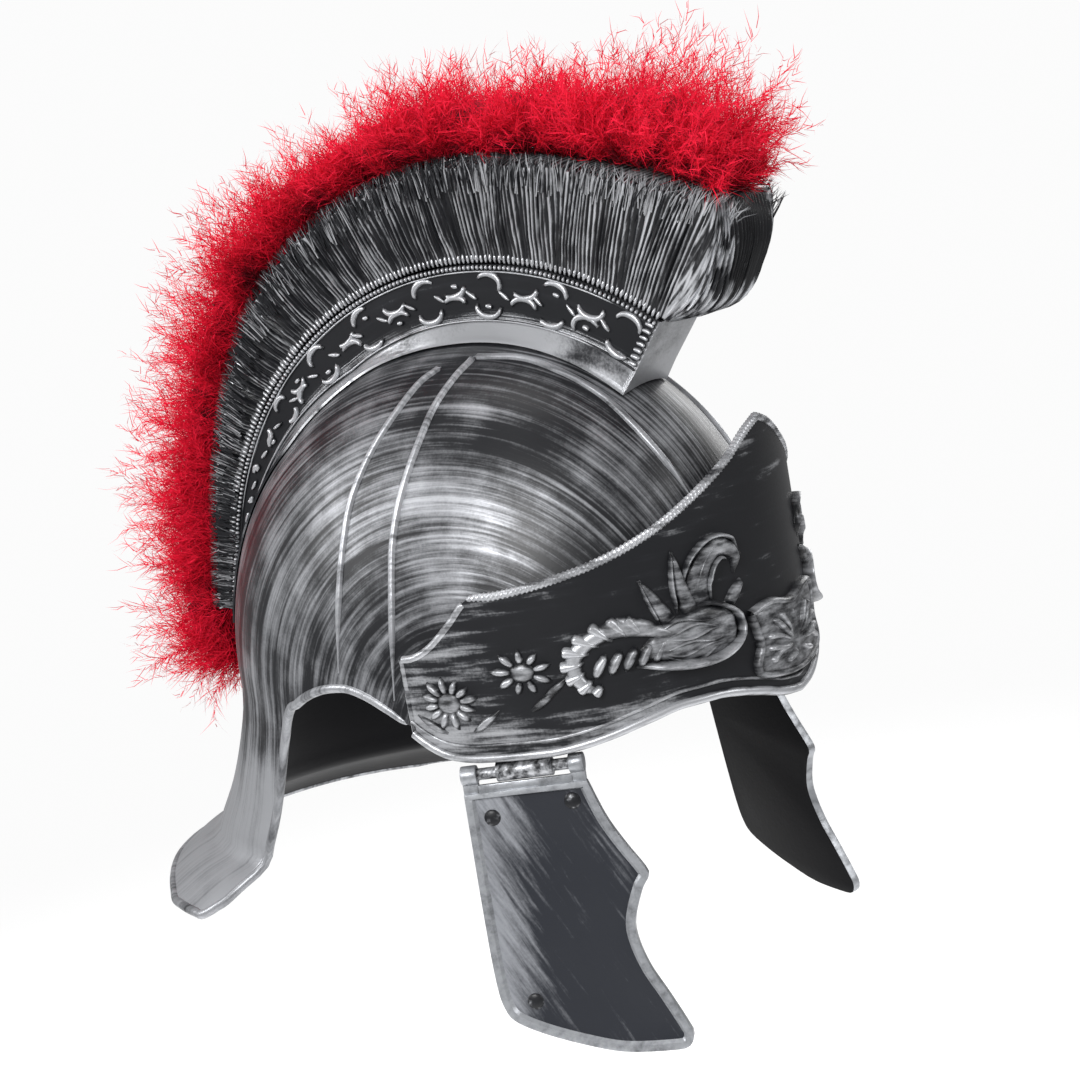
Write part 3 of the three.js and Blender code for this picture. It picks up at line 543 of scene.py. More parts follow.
def skull_place(u, v):
    side = 2 * u - 1
    turn = np.sign(side) * np.interp(np.abs(side), CROWD["share"], CROWD["turn"])
    z = np.where(v < DOME_SHARE, dome_height(turn, np.minimum(v / DOME_SHARE, 1)),
                 shelf_height(turn, np.maximum(v - DOME_SHARE, 0) / (1 - DOME_SHARE)))
    return skull_point(turn, z)


SKULL_REACH = (SKULL_FRONT + SKULL_BACK) / 2
BRUSH_CENTRE = [0, CENTRE_Y - 38, BELT_Z - 16]
ROUND_EAR, FROM_EAR, APART = 110, 120, 40


def skull_grain(points):
    """Brush strokes circle the ear, along the crest and down the neck."""
    p = (points - BRUSH_CENTRE) / [SKULL_HALF, SKULL_REACH, DOME]
    reach = np.linalg.norm(p, axis=1)
    across = np.arccos(np.clip(np.abs(p[:, 0]) / reach, 0, 1)) * FROM_EAR
    along = np.arctan2(p[:, 2], p[:, 1]) * ROUND_EAR
    return np.stack([along, across, np.sign(p[:, 0]) * APART], 1) * MM


def skull_cover(points):
    """A bright flank and neck, a darker back and forehead; part of the neck's silver is a painted
    highlight.
    """
    x, y, z = points.T
    turn = np.degrees(np.arctan2(np.abs(x), -(y - CENTRE_Y) * SKULL_HALF / SKULL_REACH))
    up = (z - BELT_Z) / DOME
    flank = hill(turn, 44, 99) * hill(up, 0.1, 0.94)
    back = ease(turn, 88, 104) * (1 - ease(up, 0.75, 0.95))
    # Silver down the neck: dry-brushing, raised further as a painted highlight for the light on its
    # near edge.
    neck = ease(-z, -4, 34)
    front = 1 - ease(turn, 30, 62)
    return 0.13 + 0.4 * flank + 0.13 * back + 0.66 * neck + 0.07 * front


skull = grid("skull_shell", 270, 80, skull_place, wall=WALL)
points = coordinates(skull)
brush(skull, skull_grain(points), skull_cover(points))
print("skull:", len(skull.data.polygons), "faces")

# %% [markdown]
# The ribs and the rolled edge of the neck are raised lines of the same moulding. They
# could be pushed out of the skull's own faces, which would have to be very small. They
# are separate rounded ridges laid on the same surface, and the brush has left them silver.

# %% Ribs and rolled edge
RIB_HALF, RIB_HEIGHT, RIM_RADIUS = 1.8, 1.6, 2.1


def rib(turn, z):
    """A raised line on the skull that sinks at its ends."""
    place = np.arange(len(turn))
    ends = np.clip(np.minimum(place, place[::-1]) / 4, 0.25, 1)
    return ridge("rib", skull_point(turn, z), skull_normal(turn, z), RIB_HALF * ends,
                 RIB_HEIGHT * ends, columns=120)


ribs = []
for side in (-1, 1):
    for table in RIBS:
        line = resample(list(zip(table["turn"], table["up"])), 80)
        ribs.append(rib(side * line[:, 0], BELT_Z + DOME * line[:, 1]))
turns = np.concatenate([np.linspace(87, 112, 60), np.linspace(112.3, 130, 130),
                        np.linspace(130.5, 180, 90)])
turns = np.concatenate([turns, (360 - turns[:-1][::-1])])
wrapped = np.where(turns > 180, turns - 360, turns)
rim_path = skull_point(wrapped, rim_height(wrapped))
rim_normal = skull_normal(wrapped, rim_height(wrapped))
rim_roll = tube("skull_rim", rim_path - rim_normal * WALL * 0.4, rim_normal, RIM_RADIUS, 480,
                sides=10)
ribs = join("skull_ribs", [*ribs, rim_roll])
points = coordinates(ribs)
brush(ribs, skull_grain(points), 0.74 - 0.12 * ease(-points[:, 2], -20, 40))
skull_paint = brushed("skull_brushed_plastic", stroke=(15, 560, 1), hard=0.98,
                      silver=(0.46, 0.47, 0.495, 1), patchy=1.2)
dress(skull, skull_paint, "helmet", inside_bare_and_shade_paint)
dress(ribs, skull_paint, "helmet")
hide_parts("skull")
print("ribs and rim:", len(ribs.data.polygons), "faces")

# %% [markdown]
# The brow plate is wrapped round the front like a peaked band. Its upper edge is a
# twisted rope from the notch over each temple up to the point, and its lower edge a
# double bead. Both catch most of the silver, while the field stays nearly black. The
# plate could be cut out of a bent sheet. A grid between its two edge lines was chosen,
# because the rope and the beads run along those same lines.

# %% Brow plate
BROW_HALF, BROW_REACH, BROW_Y, PEAK = 99.0, 124.0, 16.0, 108.0
BROW = {
    "turn": [0, 5.8, 14, 20.5, 27, 34, 42, 51, 57, 62.7, 68, 73.5, 78, 83.5, 87, 90],
    "top": [1, 0.963, 0.88, 0.822, 0.765, 0.708, 0.655, 0.611, 0.59, 0.574, 0.564, 0.556,
            0.472, 0.385, 0.356, 0.352],
    "low": [-0.065, -0.05, -0.01, 0.019, 0.034, 0.034, 0.009, -0.028, -0.047, -0.056,
            -0.056, -0.056, -0.053, -0.03, 0.009, 0.056],
}
ROPE_END = 73.5


def brow_point(turn, z, height=0.0):
    x = (BROW_HALF + height) * np.sin(np.radians(turn))
    y = BROW_Y - (BROW_REACH + height) * np.cos(np.radians(turn))
    return np.stack([x, y, z + 0 * x], 1)


def brow_normal(turn):
    x = np.sin(np.radians(turn)) / BROW_HALF
    y = -np.cos(np.radians(turn)) / BROW_REACH
    return unit(np.stack([x, y, 0 * x], 1))


def brow_edge(turn, name):
    return PEAK * curve(BROW, "turn", np.abs(turn), name)


def brow_place(u, v):
    turn = 180 * u - 90
    low, top = brow_edge(turn, "low"), brow_edge(turn, "top")
    return brow_point(turn, low + v * (top - low))


BROW_MEAN = 110
DEGREE, SLANT = 1.9, 0.35


def brow_rise(points):
    """How far points stand off the plate, in millimetres."""
    x = points[:, 0] / BROW_HALF
    y = (points[:, 1] - BROW_Y) / BROW_REACH
    return (np.hypot(x, y) - 1) * BROW_MEAN


def brow_turn(points):
    """Degrees from the middle of the face, round the plate."""
    return np.degrees(np.arctan2(points[:, 0] / BROW_HALF, -(points[:, 1] - BROW_Y) / BROW_REACH))


def brow_grain(points):
    """Strokes along the plate, a little downhill towards the temples."""
    turn = brow_turn(points)
    return np.stack([turn * DEGREE + points[:, 2] * SLANT, points[:, 2], 0 * turn], 1) * MM


def brow_cover(points):
    """Silver low on the plate and at the temples."""
    turn = np.abs(brow_turn(points))
    low = 1 - ease(points[:, 2] - brow_edge(turn, "low"), 4, 26)
    return 0.02 + 0.34 * low * ease(turn, 16, 50) + 0.24 * ease(turn, 56, 76)


plate = grid("brow_shell", 200, 30, brow_place, wall=WALL)
points = coordinates(plate)
brush(plate, brow_grain(points), brow_cover(points))
print("brow plate:", len(plate.data.polygons), "faces")

# %% Edges of the brow plate
ROPE_RADIUS, ROPE_TWIST, ROPE_GROOVE = 2.05, 78, 0.24
NOTCH_RADIUS, REAR_RADIUS = 1.7, 1.6
BEAD_LINES = ((1.4, 2.0), (6.6, 0.9))
NEAR_END, REAR_TURN, ROPE_ZONE = 89.6, 89.4, 25


def edge_tube(name, turn, z, radius, columns):
    """A rounded edge in the middle of the plate's wall."""
    normal = brow_normal(turn)
    return tube(name, brow_point(turn, z) - normal * WALL / 2, normal, radius, columns)


turn = np.linspace(-ROPE_END, ROPE_END, 300)
rope_path = brow_point(turn, brow_edge(turn, "top") - 0.6, -WALL / 2 + 0.3)
edges = [tube("brow_rope", rope_path, brow_normal(turn), ROPE_RADIUS, 900, sides=10,
              twist=ROPE_TWIST, groove=ROPE_GROOVE)]
for side in (-1, 1):
    turn = side * np.linspace(ROPE_END + 0.5, NEAR_END, 60)
    edges.append(edge_tube("brow_notch", turn, brow_edge(turn, "top") - 0.8, NOTCH_RADIUS, 90))
    z = np.linspace(brow_edge(90, "low") + 0.5, brow_edge(90, "top") - 0.5, 40)
    edges.append(edge_tube("brow_rear", side * REAR_TURN + 0 * z, z, REAR_RADIUS, 60))
turn = np.linspace(-NEAR_END, NEAR_END, 300)
for lift, size in BEAD_LINES:
    line = brow_point(turn, brow_edge(turn, "low") + lift)
    width = size + 0 * turn
    edges.append(ridge("brow_bead", line, brow_normal(turn), width, width * 0.85, columns=420))
edges = join("brow_edges", edges)
points = coordinates(edges)
high = ease(brow_rise(points), 0.2, 1.5)
brush(edges, brow_grain(points),
      np.where(points[:, 2] > ROPE_ZONE, 0.56 + 0.2 * high, 0.32 + 0.42 * high))
print("edges:", len(edges.data.polygons), "faces")

# %% [markdown]
# The relief of the plate is carved foliage: a curling leaf with a scalloped spine on
# each side, two rayed rosettes behind it, small sprays, and a scrolled plaque in the
# middle. It could be sculpted, or displaced by a picture. Tapered ridges were chosen,
# as a carver cuts such leaves stroke by stroke. A stroke is a list of its turn, its
# height on the plate and its half width in millimetres, and serves both sides.

# %% Strokes of the relief
END_SLOPE, FULL_HALF = 7, 1.6


def stroke(side, rows, height, across=8, count=40):
    """A tapered ridge on one side of the plate."""
    line = resample([(side * turn, up, half) for turn, up, half in rows], count)
    spot = brow_point(line[:, 0], line[:, 1] * PEAK)
    share = np.linspace(0, 1, count)
    tall = height * np.clip(np.minimum(share, 1 - share) * END_SLOPE, 0.25, 1)
    return ridge("stroke", spot, brow_normal(line[:, 0]), line[:, 2],
                 tall * np.clip(line[:, 2] / FULL_HALF, 0.35, 1), columns=count, rows=across)


LEAF = [
    [(50.8, 0.158, 1.2), (53.4, 0.182, 2.8), (55.2, 0.235, 3.4), (54.9, 0.29, 3.4),
     (52.3, 0.338, 3.4), (48.8, 0.365, 3.6), (45, 0.372, 3.8), (41, 0.355, 3.2), (37, 0.33, 2.4)],
    [(45.6, 0.412, 0.8), (43.4, 0.388, 2.6), (40.2, 0.358, 3.4), (36.4, 0.325, 2.6), (33.6, 0.31, 1)],
    [(41.5, 0.268, 2), (38, 0.275, 6), (33.6, 0.282, 9.4), (29, 0.286, 11.4), (25, 0.286, 11.2),
     (21.2, 0.282, 8.8), (18.4, 0.28, 3.2)],
    [(34.6, 0.36, 3.6), (36.8, 0.43, 3), (39.6, 0.53, 0.7)],
    [(29.4, 0.36, 4.2), (31, 0.47, 3.2), (31.9, 0.61, 0.8)],
    [(26.4, 0.33, 5), (27.2, 0.45, 5.6), (25.6, 0.53, 5), (22, 0.58, 4.4), (18.4, 0.57, 3.8),
     (16.4, 0.525, 2.6), (17.4, 0.47, 1)],
    [(20.4, 0.36, 2.4), (18, 0.4, 2.6), (15.6, 0.44, 1)],
]
VEINS = [
    [(36.8, 0.36, 0.6), (38.6, 0.45, 0.8), (39.8, 0.53, 0.5)],
    [(32.6, 0.38, 0.7), (33, 0.49, 0.9), (32, 0.61, 0.6)],
    [(30, 0.36, 0.7), (30.6, 0.46, 0.9), (28.4, 0.56, 0.9), (23, 0.622, 1), (17.4, 0.606, 0.9),
     (14.4, 0.53, 0.5)],
    [(24, 0.36, 0.7), (24.4, 0.45, 0.9), (22.8, 0.515, 0.9), (20.6, 0.54, 0.8), (18.6, 0.525, 0.5)],
    [(26.8, 0.37, 0.6), (27.4, 0.46, 0.8), (25.2, 0.54, 0.8), (21.6, 0.588, 0.7), (18, 0.565, 0.4)],
    [(43, 0.222, 0.9), (38, 0.208, 1.8), (32, 0.19, 2.2), (26, 0.186, 2), (21.6, 0.206, 1.7),
     (18.2, 0.25, 1.3), (17.6, 0.3, 1.2), (20, 0.35, 1.2), (24.6, 0.388, 1.1), (29.4, 0.392, 0.8)],
]
SPINE = {"turn": [52, 54.9, 57, 57.8, 57, 54.6, 51, 47.2, 43.6],
         "up": [0.148, 0.168, 0.21, 0.265, 0.322, 0.368, 0.4, 0.412, 0.408]}
HEART = {"turn": [50.2, 51.8, 53, 53, 51.8, 49.6, 46.8, 43.6, 40.6],
         "up": [0.18, 0.205, 0.236, 0.27, 0.3, 0.322, 0.332, 0.336, 0.33]}
WAVES = [(-0.72, 0.6), (-0.44, 2.2), (-0.16, 4.1), (0.12, 0.9), (0.4, 3.2), (0.68, 5.3)]
PLAQUE = [(-1, 0.3), (-0.55, 0.318), (0, 0.29), (0.55, 0.318), (1, 0.3), (0.88, 0.18),
          (1.02, 0.095), (0.8, 0.055), (0, 0.03), (-0.8, 0.055), (-1.02, 0.095), (-0.88, 0.18)]
PLAQUE_TURN, PLAQUE_MIDDLE, PLAQUE_RISE, PLAQUE_EDGE = 14.8, 0.175, 2.6, 1.7
FAN = [(11.6, 0.098, 1), (12.4, 0.15, -1), (11.4, 0.205, 1), (9.4, 0.252, -1), (5.4, 0.272, 1),
       (6.6, 0.075, -1)]
FAN_MIDDLE = [(0, 0.06, 0.8), (0, 0.12, 2.6), (0, 0.2, 2.8), (0, 0.272, 0.9)]
FAN_UP = 0.14
ROSETTES = [(80.5, 0.176, 12, 10.5, True), (65, 0.268, 9, 10, False)]
ROSETTE_SIDE, ROSETTE_TOP = 76, 42
SPRAYS = [(59.5, 0.19, 1), (62, 0.15, 1), (74, 0.09, 1), (84.5, 0.09, -1)]
LOBES, LOBE_TURN, LOBE_UP = 5, (50.6, -3.1), (0.205, 0.004)
SHELL_TURN, SHELL_UP, SHELL_HALF = (38.5, -17.5), 0.28, 0.105
print("strokes:", len(LEAF), "in the leaf,", len(VEINS), "veins,", len(WAVES), "waves")


# %% Leaf of the relief
def leaf_strokes(side):
    """The curling leaf with its veins, scalloped spine, inner lobes and wavy shell."""
    made = [stroke(side, rows, 2.7, 12, 60) for rows in LEAF]
    made += [stroke(side, rows, 6.2, count=44) for rows in VEINS]
    for tip, up, root, low in zip(SPINE["turn"], SPINE["up"], HEART["turn"], HEART["up"]):
        rows = [(root, low, 0.8), ((root + tip) / 2, (low + up) / 2, 2),
                (0.14 * root + 0.86 * tip, 0.14 * low + 0.86 * up, 2.5), (tip, up, 1.1)]
        made.append(stroke(side, rows, 3.2, count=20))
    for k in range(LOBES):
        turn = LOBE_TURN[0] + LOBE_TURN[1] * k
        low = LOBE_UP[0] + LOBE_UP[1] * k
        rows = [(turn + 0.9, low, 0.8), (turn, low + 0.03, 2.1), (turn - 1.3, low + 0.064, 1.8),
                (turn - 2, low + 0.085, 0.7)]
        made.append(stroke(side, rows, 2.9, count=18))
    for off, phase in WAVES:
        rows = []
        for share in np.linspace(0, 1, 8):
            belly = SHELL_HALF * math.sin(math.pi * (0.16 + 0.76 * share)) ** 0.8
            sway = 0.01 * math.sin(9 * share + phase)
            rows.append((SHELL_TURN[0] + SHELL_TURN[1] * share, SHELL_UP + off * belly + sway,
                         0.5 + 0.45 * math.sin(math.pi * share)))
        made.append(stroke(side, rows, (2.7 * math.sqrt(1 - off * off) + 0.6) / 0.5))
    return made


relief = {-1: leaf_strokes(-1), 1: leaf_strokes(1)}
print("leaf:", len(relief[1]), "strokes a side")


# %% Rosettes, sprays and the fan of the plaque
def rosette(side, turn, up, rays, radius, ring):
    """Leaf-shaped rays round a domed or ringed middle."""
    made = []
    arc = np.degrees(1 / BROW_HALF)
    for k in range(rays):
        angle = 2 * math.pi * (k + 0.3) / rays
        reach = radius * (1 + 0.1 * math.sin(5 * k))
        rows = [(side * turn + r * math.cos(angle) * arc, up + r * math.sin(angle) / PEAK, w)
                for r, w in ((radius * 0.34, 1), (reach * 0.7, 1.75), (reach, 0.6))]
        made.append(stroke(1, rows, 2.1, count=14))
    knob = primitive("knob", bpy.ops.mesh.primitive_uv_sphere_add, segments=24, ring_count=12,
                     radius=1)
    ball = own_units(knob)
    if ring:
        spread_out = np.hypot(ball[:, 0], ball[:, 1])
        ball[:, 2] -= 0.8 * (1 - spread_out) ** 2
    size = radius * 0.42
    reshape(knob, brow_point(side * turn + np.degrees(ball[:, 0] * size / BROW_HALF),
                             up * PEAK + ball[:, 1] * size, ball[:, 2] * 1.9))
    soften(knob)
    return [*made, knob]


def spray(side, turn, up, lean):
    """A single small leaf."""
    rows = [(turn + 2.5 * lean, up - 0.03, 0.8), (turn, up, 1.9), (turn - 3.4 * lean, up + 0.045, 0.6)]
    return stroke(side, rows, 1.5, count=18)


def fan_leaf(side, turn, up, bow):
    """A leaf of the plaque's fan, bent to one side."""
    rise = up - FAN_UP
    rows = [(1.2, 0.13 + rise * 0.12, 0.8), (turn * 0.55 + bow, FAN_UP + rise * 0.5 + 0.012 * bow, 1.7),
            (turn * 0.86 + 0.8 * bow, FAN_UP + rise * 0.86, 1.9), (turn, up, 0.7)]
    return stroke(side, rows, 4.6, count=30)


for side, made in relief.items():
    for row in ROSETTES:
        made += rosette(side, *row)
    made += [spray(side, *row) for row in SPRAYS]
    made += [fan_leaf(side, *row) for row in FAN]
print("relief:", len(relief[1]), "strokes a side")

# %% Plaque and finish of the relief
outline = resample([*PLAQUE, PLAQUE[0]], 140)
rim_line = brow_point(outline[:, 0] * PLAQUE_TURN, outline[:, 1] * PEAK)
even = PLAQUE_EDGE + 0 * outline[:, 0]


def plaque_place(u, v):
    """The plaque's field, from its outline to its middle."""
    spot = at_share(outline, u)
    across = spot[:, 0] * (1 - v) * PLAQUE_TURN
    up = (PLAQUE_MIDDLE + (spot[:, 1] - PLAQUE_MIDDLE) * (1 - v)) * PEAK
    return brow_point(across, up, PLAQUE_RISE * ease(v, -0.1, 0.12))


relief = [*relief[-1], *relief[1], stroke(1, FAN_MIDDLE, 3.1, count=30),
          ridge("plaque_edge", rim_line, brow_normal(outline[:, 0] * PLAQUE_TURN), even, even * 2,
                columns=200),
          grid("plaque_field", 140, 14, plaque_place)]
relief = join("brow_relief", relief)
points = coordinates(relief)
stand = brow_rise(points)
at_rosette = (np.abs(points[:, 0]) > ROSETTE_SIDE) & (points[:, 2] < ROSETTE_TOP)
at_tail = ease(np.abs(brow_turn(points)), 36, 46)
brush(relief, brow_grain(points) * [3, 1.2, 1],
      0.1 + 0.26 * ease(stand, 0.5, 2.2) + 0.22 * ease(stand, 2.4, 3.9)
      + 0.3 * ease(stand, 0.8, 1.9) * at_rosette + 0.2 * at_tail * ease(stand, 1.6, 3))
BROW_STROKE = (40, 330, 1)
brow_paint = brushed("brow_brushed_plastic", stroke=BROW_STROKE, hard=0.5)
dress(plate, brow_paint, "helmet", inside_bare_and_shade_paint)
dress(edges, brow_paint, "helmet")
relief_paint = brushed("relief_brushed_plastic", stroke=BROW_STROKE, hard=0.95)
dress(relief, relief_paint, "helmet")
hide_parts("brow_plate")
print("relief:", len(relief.data.polygons), "faces")

# %% [markdown]
# The crest stands on an arched holder, whose foot hugs the dome, whose two panels carry
# scrolls and whose front is a flat face. It could be a box bent by a modifier. Everything
# on the crest follows one circle in the middle plane, so a point here is an angle from
# the top towards the back, a radius and a side, and one closed section is swept along
# the circle. Its foot is found by halving the gap to the dome until they meet.

# %% Crest holder
CREST_Y, CREST_Z, CREST_RADIUS = 16.0, 30.0, 155.0
CREST_FRONT, CREST_BACK = -38.8, 86.0
HALF_TOP, HALF_LOW, BOX_HEIGHT, TAIL_HEIGHT = 18.0, 17.0, 24.0, 6.0
SEAT, ALLOWANCE, PANEL_SKIN = 0.3, 0.6, 0.5
FOOT = {"angle": [-38.8, 12, 22, 30, 38, 46, 86], "half": [18.4, 18.8, 22.4, 29.2, 35.2, 40, 40]}


def crest_point(angle, radius, x):
    return np.stack([x + 0 * angle, CREST_Y + radius * np.sin(np.radians(angle)),
                     CREST_Z + radius * np.cos(np.radians(angle))], 1)


def crest_place_of(points):
    """Angle and radius of points."""
    y, z = points[:, 1] - CREST_Y, points[:, 2] - CREST_Z
    return np.degrees(np.arctan2(y, z)), np.hypot(y, z)


def inside_dome(points):
    x, y, z = points.T
    ahead = np.where(y < CENTRE_Y, SKULL_FRONT, SKULL_BACK)
    across = np.hypot(x / SKULL_HALF, (y - CENTRE_Y) / ahead)
    full = fullness((CENTRE_Y - y) / ahead / np.maximum(across, 1e-6))
    up = np.clip((z - BELT_Z) / DOME, 0, 1)
    return across ** full + up ** full < 1


HALVINGS = 30


def underside(angle, x):
    """The radius at which the foot seats on the dome."""
    low = np.full(angle.shape, CREST_RADIUS / 2)
    high = np.full(angle.shape, CREST_RADIUS * 1.2)
    for _ in range(HALVINGS):
        middle = (low + high) / 2
        inner = inside_dome(crest_point(angle, middle, x))
        low = np.where(inner, middle, low)
        high = np.where(inner, high, middle)
    return low + SEAT + ALLOWANCE


def box_top(angle):
    return np.maximum(CREST_RADIUS, underside(angle, 0 * angle) + TAIL_HEIGHT)


def panel_low(angle):
    return np.maximum(box_top(angle) - BOX_HEIGHT, underside(angle, HALF_LOW + 0 * angle) + 2)


def around(keys, v):
    """Points on a closed section whose corners are pairs of side and radius arrays."""
    spot = v * len(keys)
    low = np.minimum(spot.astype(int), len(keys) - 1)
    part = spot - low
    x = np.array([k[0] for k in [*keys, keys[0]]])
    r = np.array([k[1] for k in [*keys, keys[0]]])
    n = np.arange(len(v))
    return (x[low, n] * (1 - part) + x[low + 1, n] * part,
            r[low, n] * (1 - part) + r[low + 1, n] * part)


def holder_place(u, v):
    """The holder's section: sole, sloped foot, panel and top on each side."""
    angle = CREST_FRONT + u * (CREST_BACK - CREST_FRONT)
    wide = curve(FOOT, "angle", angle, "half")
    top, low = box_top(angle), panel_low(angle)
    sole = [(wide * k, underside(angle, wide * k)) for k in (1 / 3, 2 / 3, 1)]
    edge = sole[-1][1] + 1
    slope = [(wide + (HALF_LOW - wide) * k, edge + (low - edge) * k ** 1.5)
             for k in (0, 0.35, 0.7, 1)]
    side = [*sole, *slope, (HALF_TOP - 0.4 + 0 * angle, top - 1), (HALF_TOP - 1.2 + 0 * angle, top)]
    keys = [(0 * angle, underside(angle, 0 * angle)), *side, *[(-x, r) for x, r in side[::-1]]]
    x, radius = around(keys, v)
    return crest_point(angle, radius, x)


def crest_grain(angle, across, along=2.6):
    """Strokes along the arch."""
    return np.stack([angle * along, across, 0 * angle], 1) * MM


SECTION_CORNERS, ROWS_EACH = 19, 4
holder = grid("crest_holder", 150, SECTION_CORNERS * ROWS_EACH, holder_place, holes=True)
points = coordinates(holder)
angle, radius = crest_place_of(points)
on_panel = radius > panel_low(angle) + 0.4
at_front = angle < CREST_FRONT + 0.5
across = np.where(on_panel, radius, np.abs(points[:, 0]) * 1.6)
foot_cover = 0.74 - 0.36 * ease(angle, 24, 66)
brush(holder, np.where(at_front[:, None], points * 0.12 * MM, crest_grain(angle, across, 0.9)),
      np.where(at_front, 0.7, np.where(on_panel, 0.02, foot_cover)))
print("holder:", len(holder.data.polygons), "faces")

# %% [markdown]
# Each panel of the holder carries rows of small curls between two thin lines, with teeth
# at the front. Its top edge is a double row of beads. The curls could be cut from one
# picture. Each is a short raised arc instead, turned and bent a little by chance, as the
# worn real ones are, and the beads are copies of one small ball in a single mesh.

# %% Scrolls of the holder
def panel_stroke(rows, side, height=1.3, count=24):
    """A raised stroke on a panel through rows of angle, radius and half width."""
    line = resample(rows, count)
    path = crest_point(line[:, 0], line[:, 1], side * (HALF_LOW + PANEL_SKIN + 0 * line[:, 0]))
    normal = np.tile([side, 0.0, 0.0], (count, 1))
    share = np.linspace(0, 1, count)
    tall = height * np.clip(np.minimum(share, 1 - share) * 8, 0.3, 1)
    return ridge("scroll", path, normal, line[:, 2], tall, columns=count, rows=8)


SCROLL_STEP, SCROLL_END, LINE_END = 6.6, 72, 78
LEAST_ROOM, ROOM_FOR_TWO = 4, 10


def curl_rows(middle, centre, reach, start, half_arc):
    """An arc that is thick in its middle and thin at its ends."""
    rows = []
    for bend in np.linspace(start - half_arc, start + half_arc, 7):
        swell = 1.7 - 0.8 * abs(bend - start) / half_arc
        across = 1.35 * reach * math.cos(math.radians(bend)) / centre
        rows.append((middle + np.degrees(across), centre + reach * math.sin(math.radians(bend)),
                     swell))
    return rows


def scroll_group(k, middle, side):
    """Two facing curls, one where the panel is low, with a dot or a link between."""
    spot = np.array([middle])
    low, high = panel_low(spot)[0] + 1.6, box_top(spot)[0] - 3.6
    room = high - low
    if room < LEAST_ROOM:
        return []
    made = []
    curls = ((0.74, 1), (0.26, -1)) if room >= ROOM_FOR_TWO else ((0.5, 1),)
    for level, turn in curls:
        up = (k + (turn > 0)) % 2
        centre = low + room * level
        start = random.uniform(-35, 35) + (90 if up else -90)
        half_arc = random.uniform(62, 98)
        rows = curl_rows(middle + (k % 3 - 1) * 0.5, centre, min(room * 0.24, 5), start, half_arc)
        made.append(panel_stroke(rows, side))
        if (k + turn) % 3 == 0:
            dot = [(middle + np.degrees(d / centre), centre + 0.2 * d, w)
                   for d, w in ((-1.6, 0.7), (0, 1.2), (1.6, 0.7))]
            made.append(panel_stroke(dot, side, 1.1, 8))
    link = middle + SCROLL_STEP / 2
    made.append(panel_stroke([(link - 1, low + room * 0.42, 0.5), (link, low + room * 0.5, 1.1),
                              (link + 1.2, low + room * 0.62, 0.5)], side, 1.1, 12))
    return made


scrolls = []
spots = np.linspace(CREST_FRONT + 0.3, LINE_END, 120)
front = np.array([CREST_FRONT])
low, high = panel_low(front)[0], box_top(front)[0]
for side in (-1, 1):
    for k, middle in enumerate(np.arange(CREST_FRONT + 5, SCROLL_END, SCROLL_STEP)):
        scrolls += scroll_group(k, middle, side)
    for level in (panel_low(spots) + 0.6, box_top(spots) - 2.9):
        scrolls.append(panel_stroke(list(zip(spots, level, 0.55 + 0 * spots)), side, 0.9, 160))
    for tooth in np.linspace(0.12, 0.88, 7):
        r = low + (high - low) * tooth
        scrolls.append(panel_stroke([(CREST_FRONT + 0.3, r, 0.8), (CREST_FRONT + 1.1, r, 1.1),
                                     (CREST_FRONT + 2.0, r - 0.5, 0.7)], side, 1.2, 8))
scrolls = join("crest_scrolls", scrolls)
points = coordinates(scrolls)
brush(scrolls, crest_grain(*crest_place_of(points)),
      0.2 + 0.68 * ease(np.abs(points[:, 0]), HALF_LOW + 0.7, HALF_LOW + 1.5))
print("scrolls:", len(scrolls.data.polygons), "faces")

# %% Beads of the holder
BEADS = 150
BEAD_ALONG, BEAD_OUT = 0.78, 1.5
BEAD_ROWS = ((-1.1, 1.0), (2.7, 2.3))
bead = primitive("bead", bpy.ops.mesh.primitive_uv_sphere_add, segments=6, ring_count=5, radius=1)
ball = own_units(bead)
faces = [tuple(face.vertices) for face in bead.data.polygons]
bpy.data.objects.remove(bead)
bead_points, bead_faces = [], []
for side in (-1, 1):
    for row, (lift, tall) in enumerate(BEAD_ROWS):
        for angle in np.linspace(CREST_FRONT + 0.6, CREST_BACK - 0.8, BEADS):
            at = box_top(np.array([angle]))[0] + lift
            across = (np.radians(angle) * at + ball[:, 1] * BEAD_ALONG) / at
            spot = crest_point(np.degrees(across), at + ball[:, 2] * tall,
                               side * (HALF_TOP + 0.1 - 0.5 * row + ball[:, 0] * BEAD_OUT))
            bead_faces += [tuple(v + len(bead_points) * len(ball) for v in face) for face in faces]
            bead_points.append(spot)
mesh = bpy.data.meshes.new("crest_beads")
mesh.from_pydata((np.vstack(bead_points) * MM).tolist(), [], bead_faces)
beads = new_piece("crest_beads", mesh)
soften(beads, 80)
points = coordinates(beads)
brush(beads, crest_grain(*crest_place_of(points)),
      0.26 + 0.66 * ease(np.abs(points[:, 0]), HALF_TOP - 0.2, HALF_TOP + 0.9))
crest_paint = brushed("crest_brushed_plastic", stroke=(60, 260, 1), hard=0.35)
for piece in (holder, scrolls, beads):
    dress(piece, crest_paint, "helmet")
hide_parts("crest_box")
print("beads:", len(beads.data.polygons), "faces")

# %% [markdown]
# The comb is bristle cast in plastic: tufts of strands that spread towards their tips.
# It could be thousands of separate hairs, but the real one is a single moulding whose
# strands only show as grooves. One dense grid wraps both sides, the top and the rounded
# nose. Strands are a fine wave across the grid, tufts a coarse one, and the silver sits
# on the wave's crests.

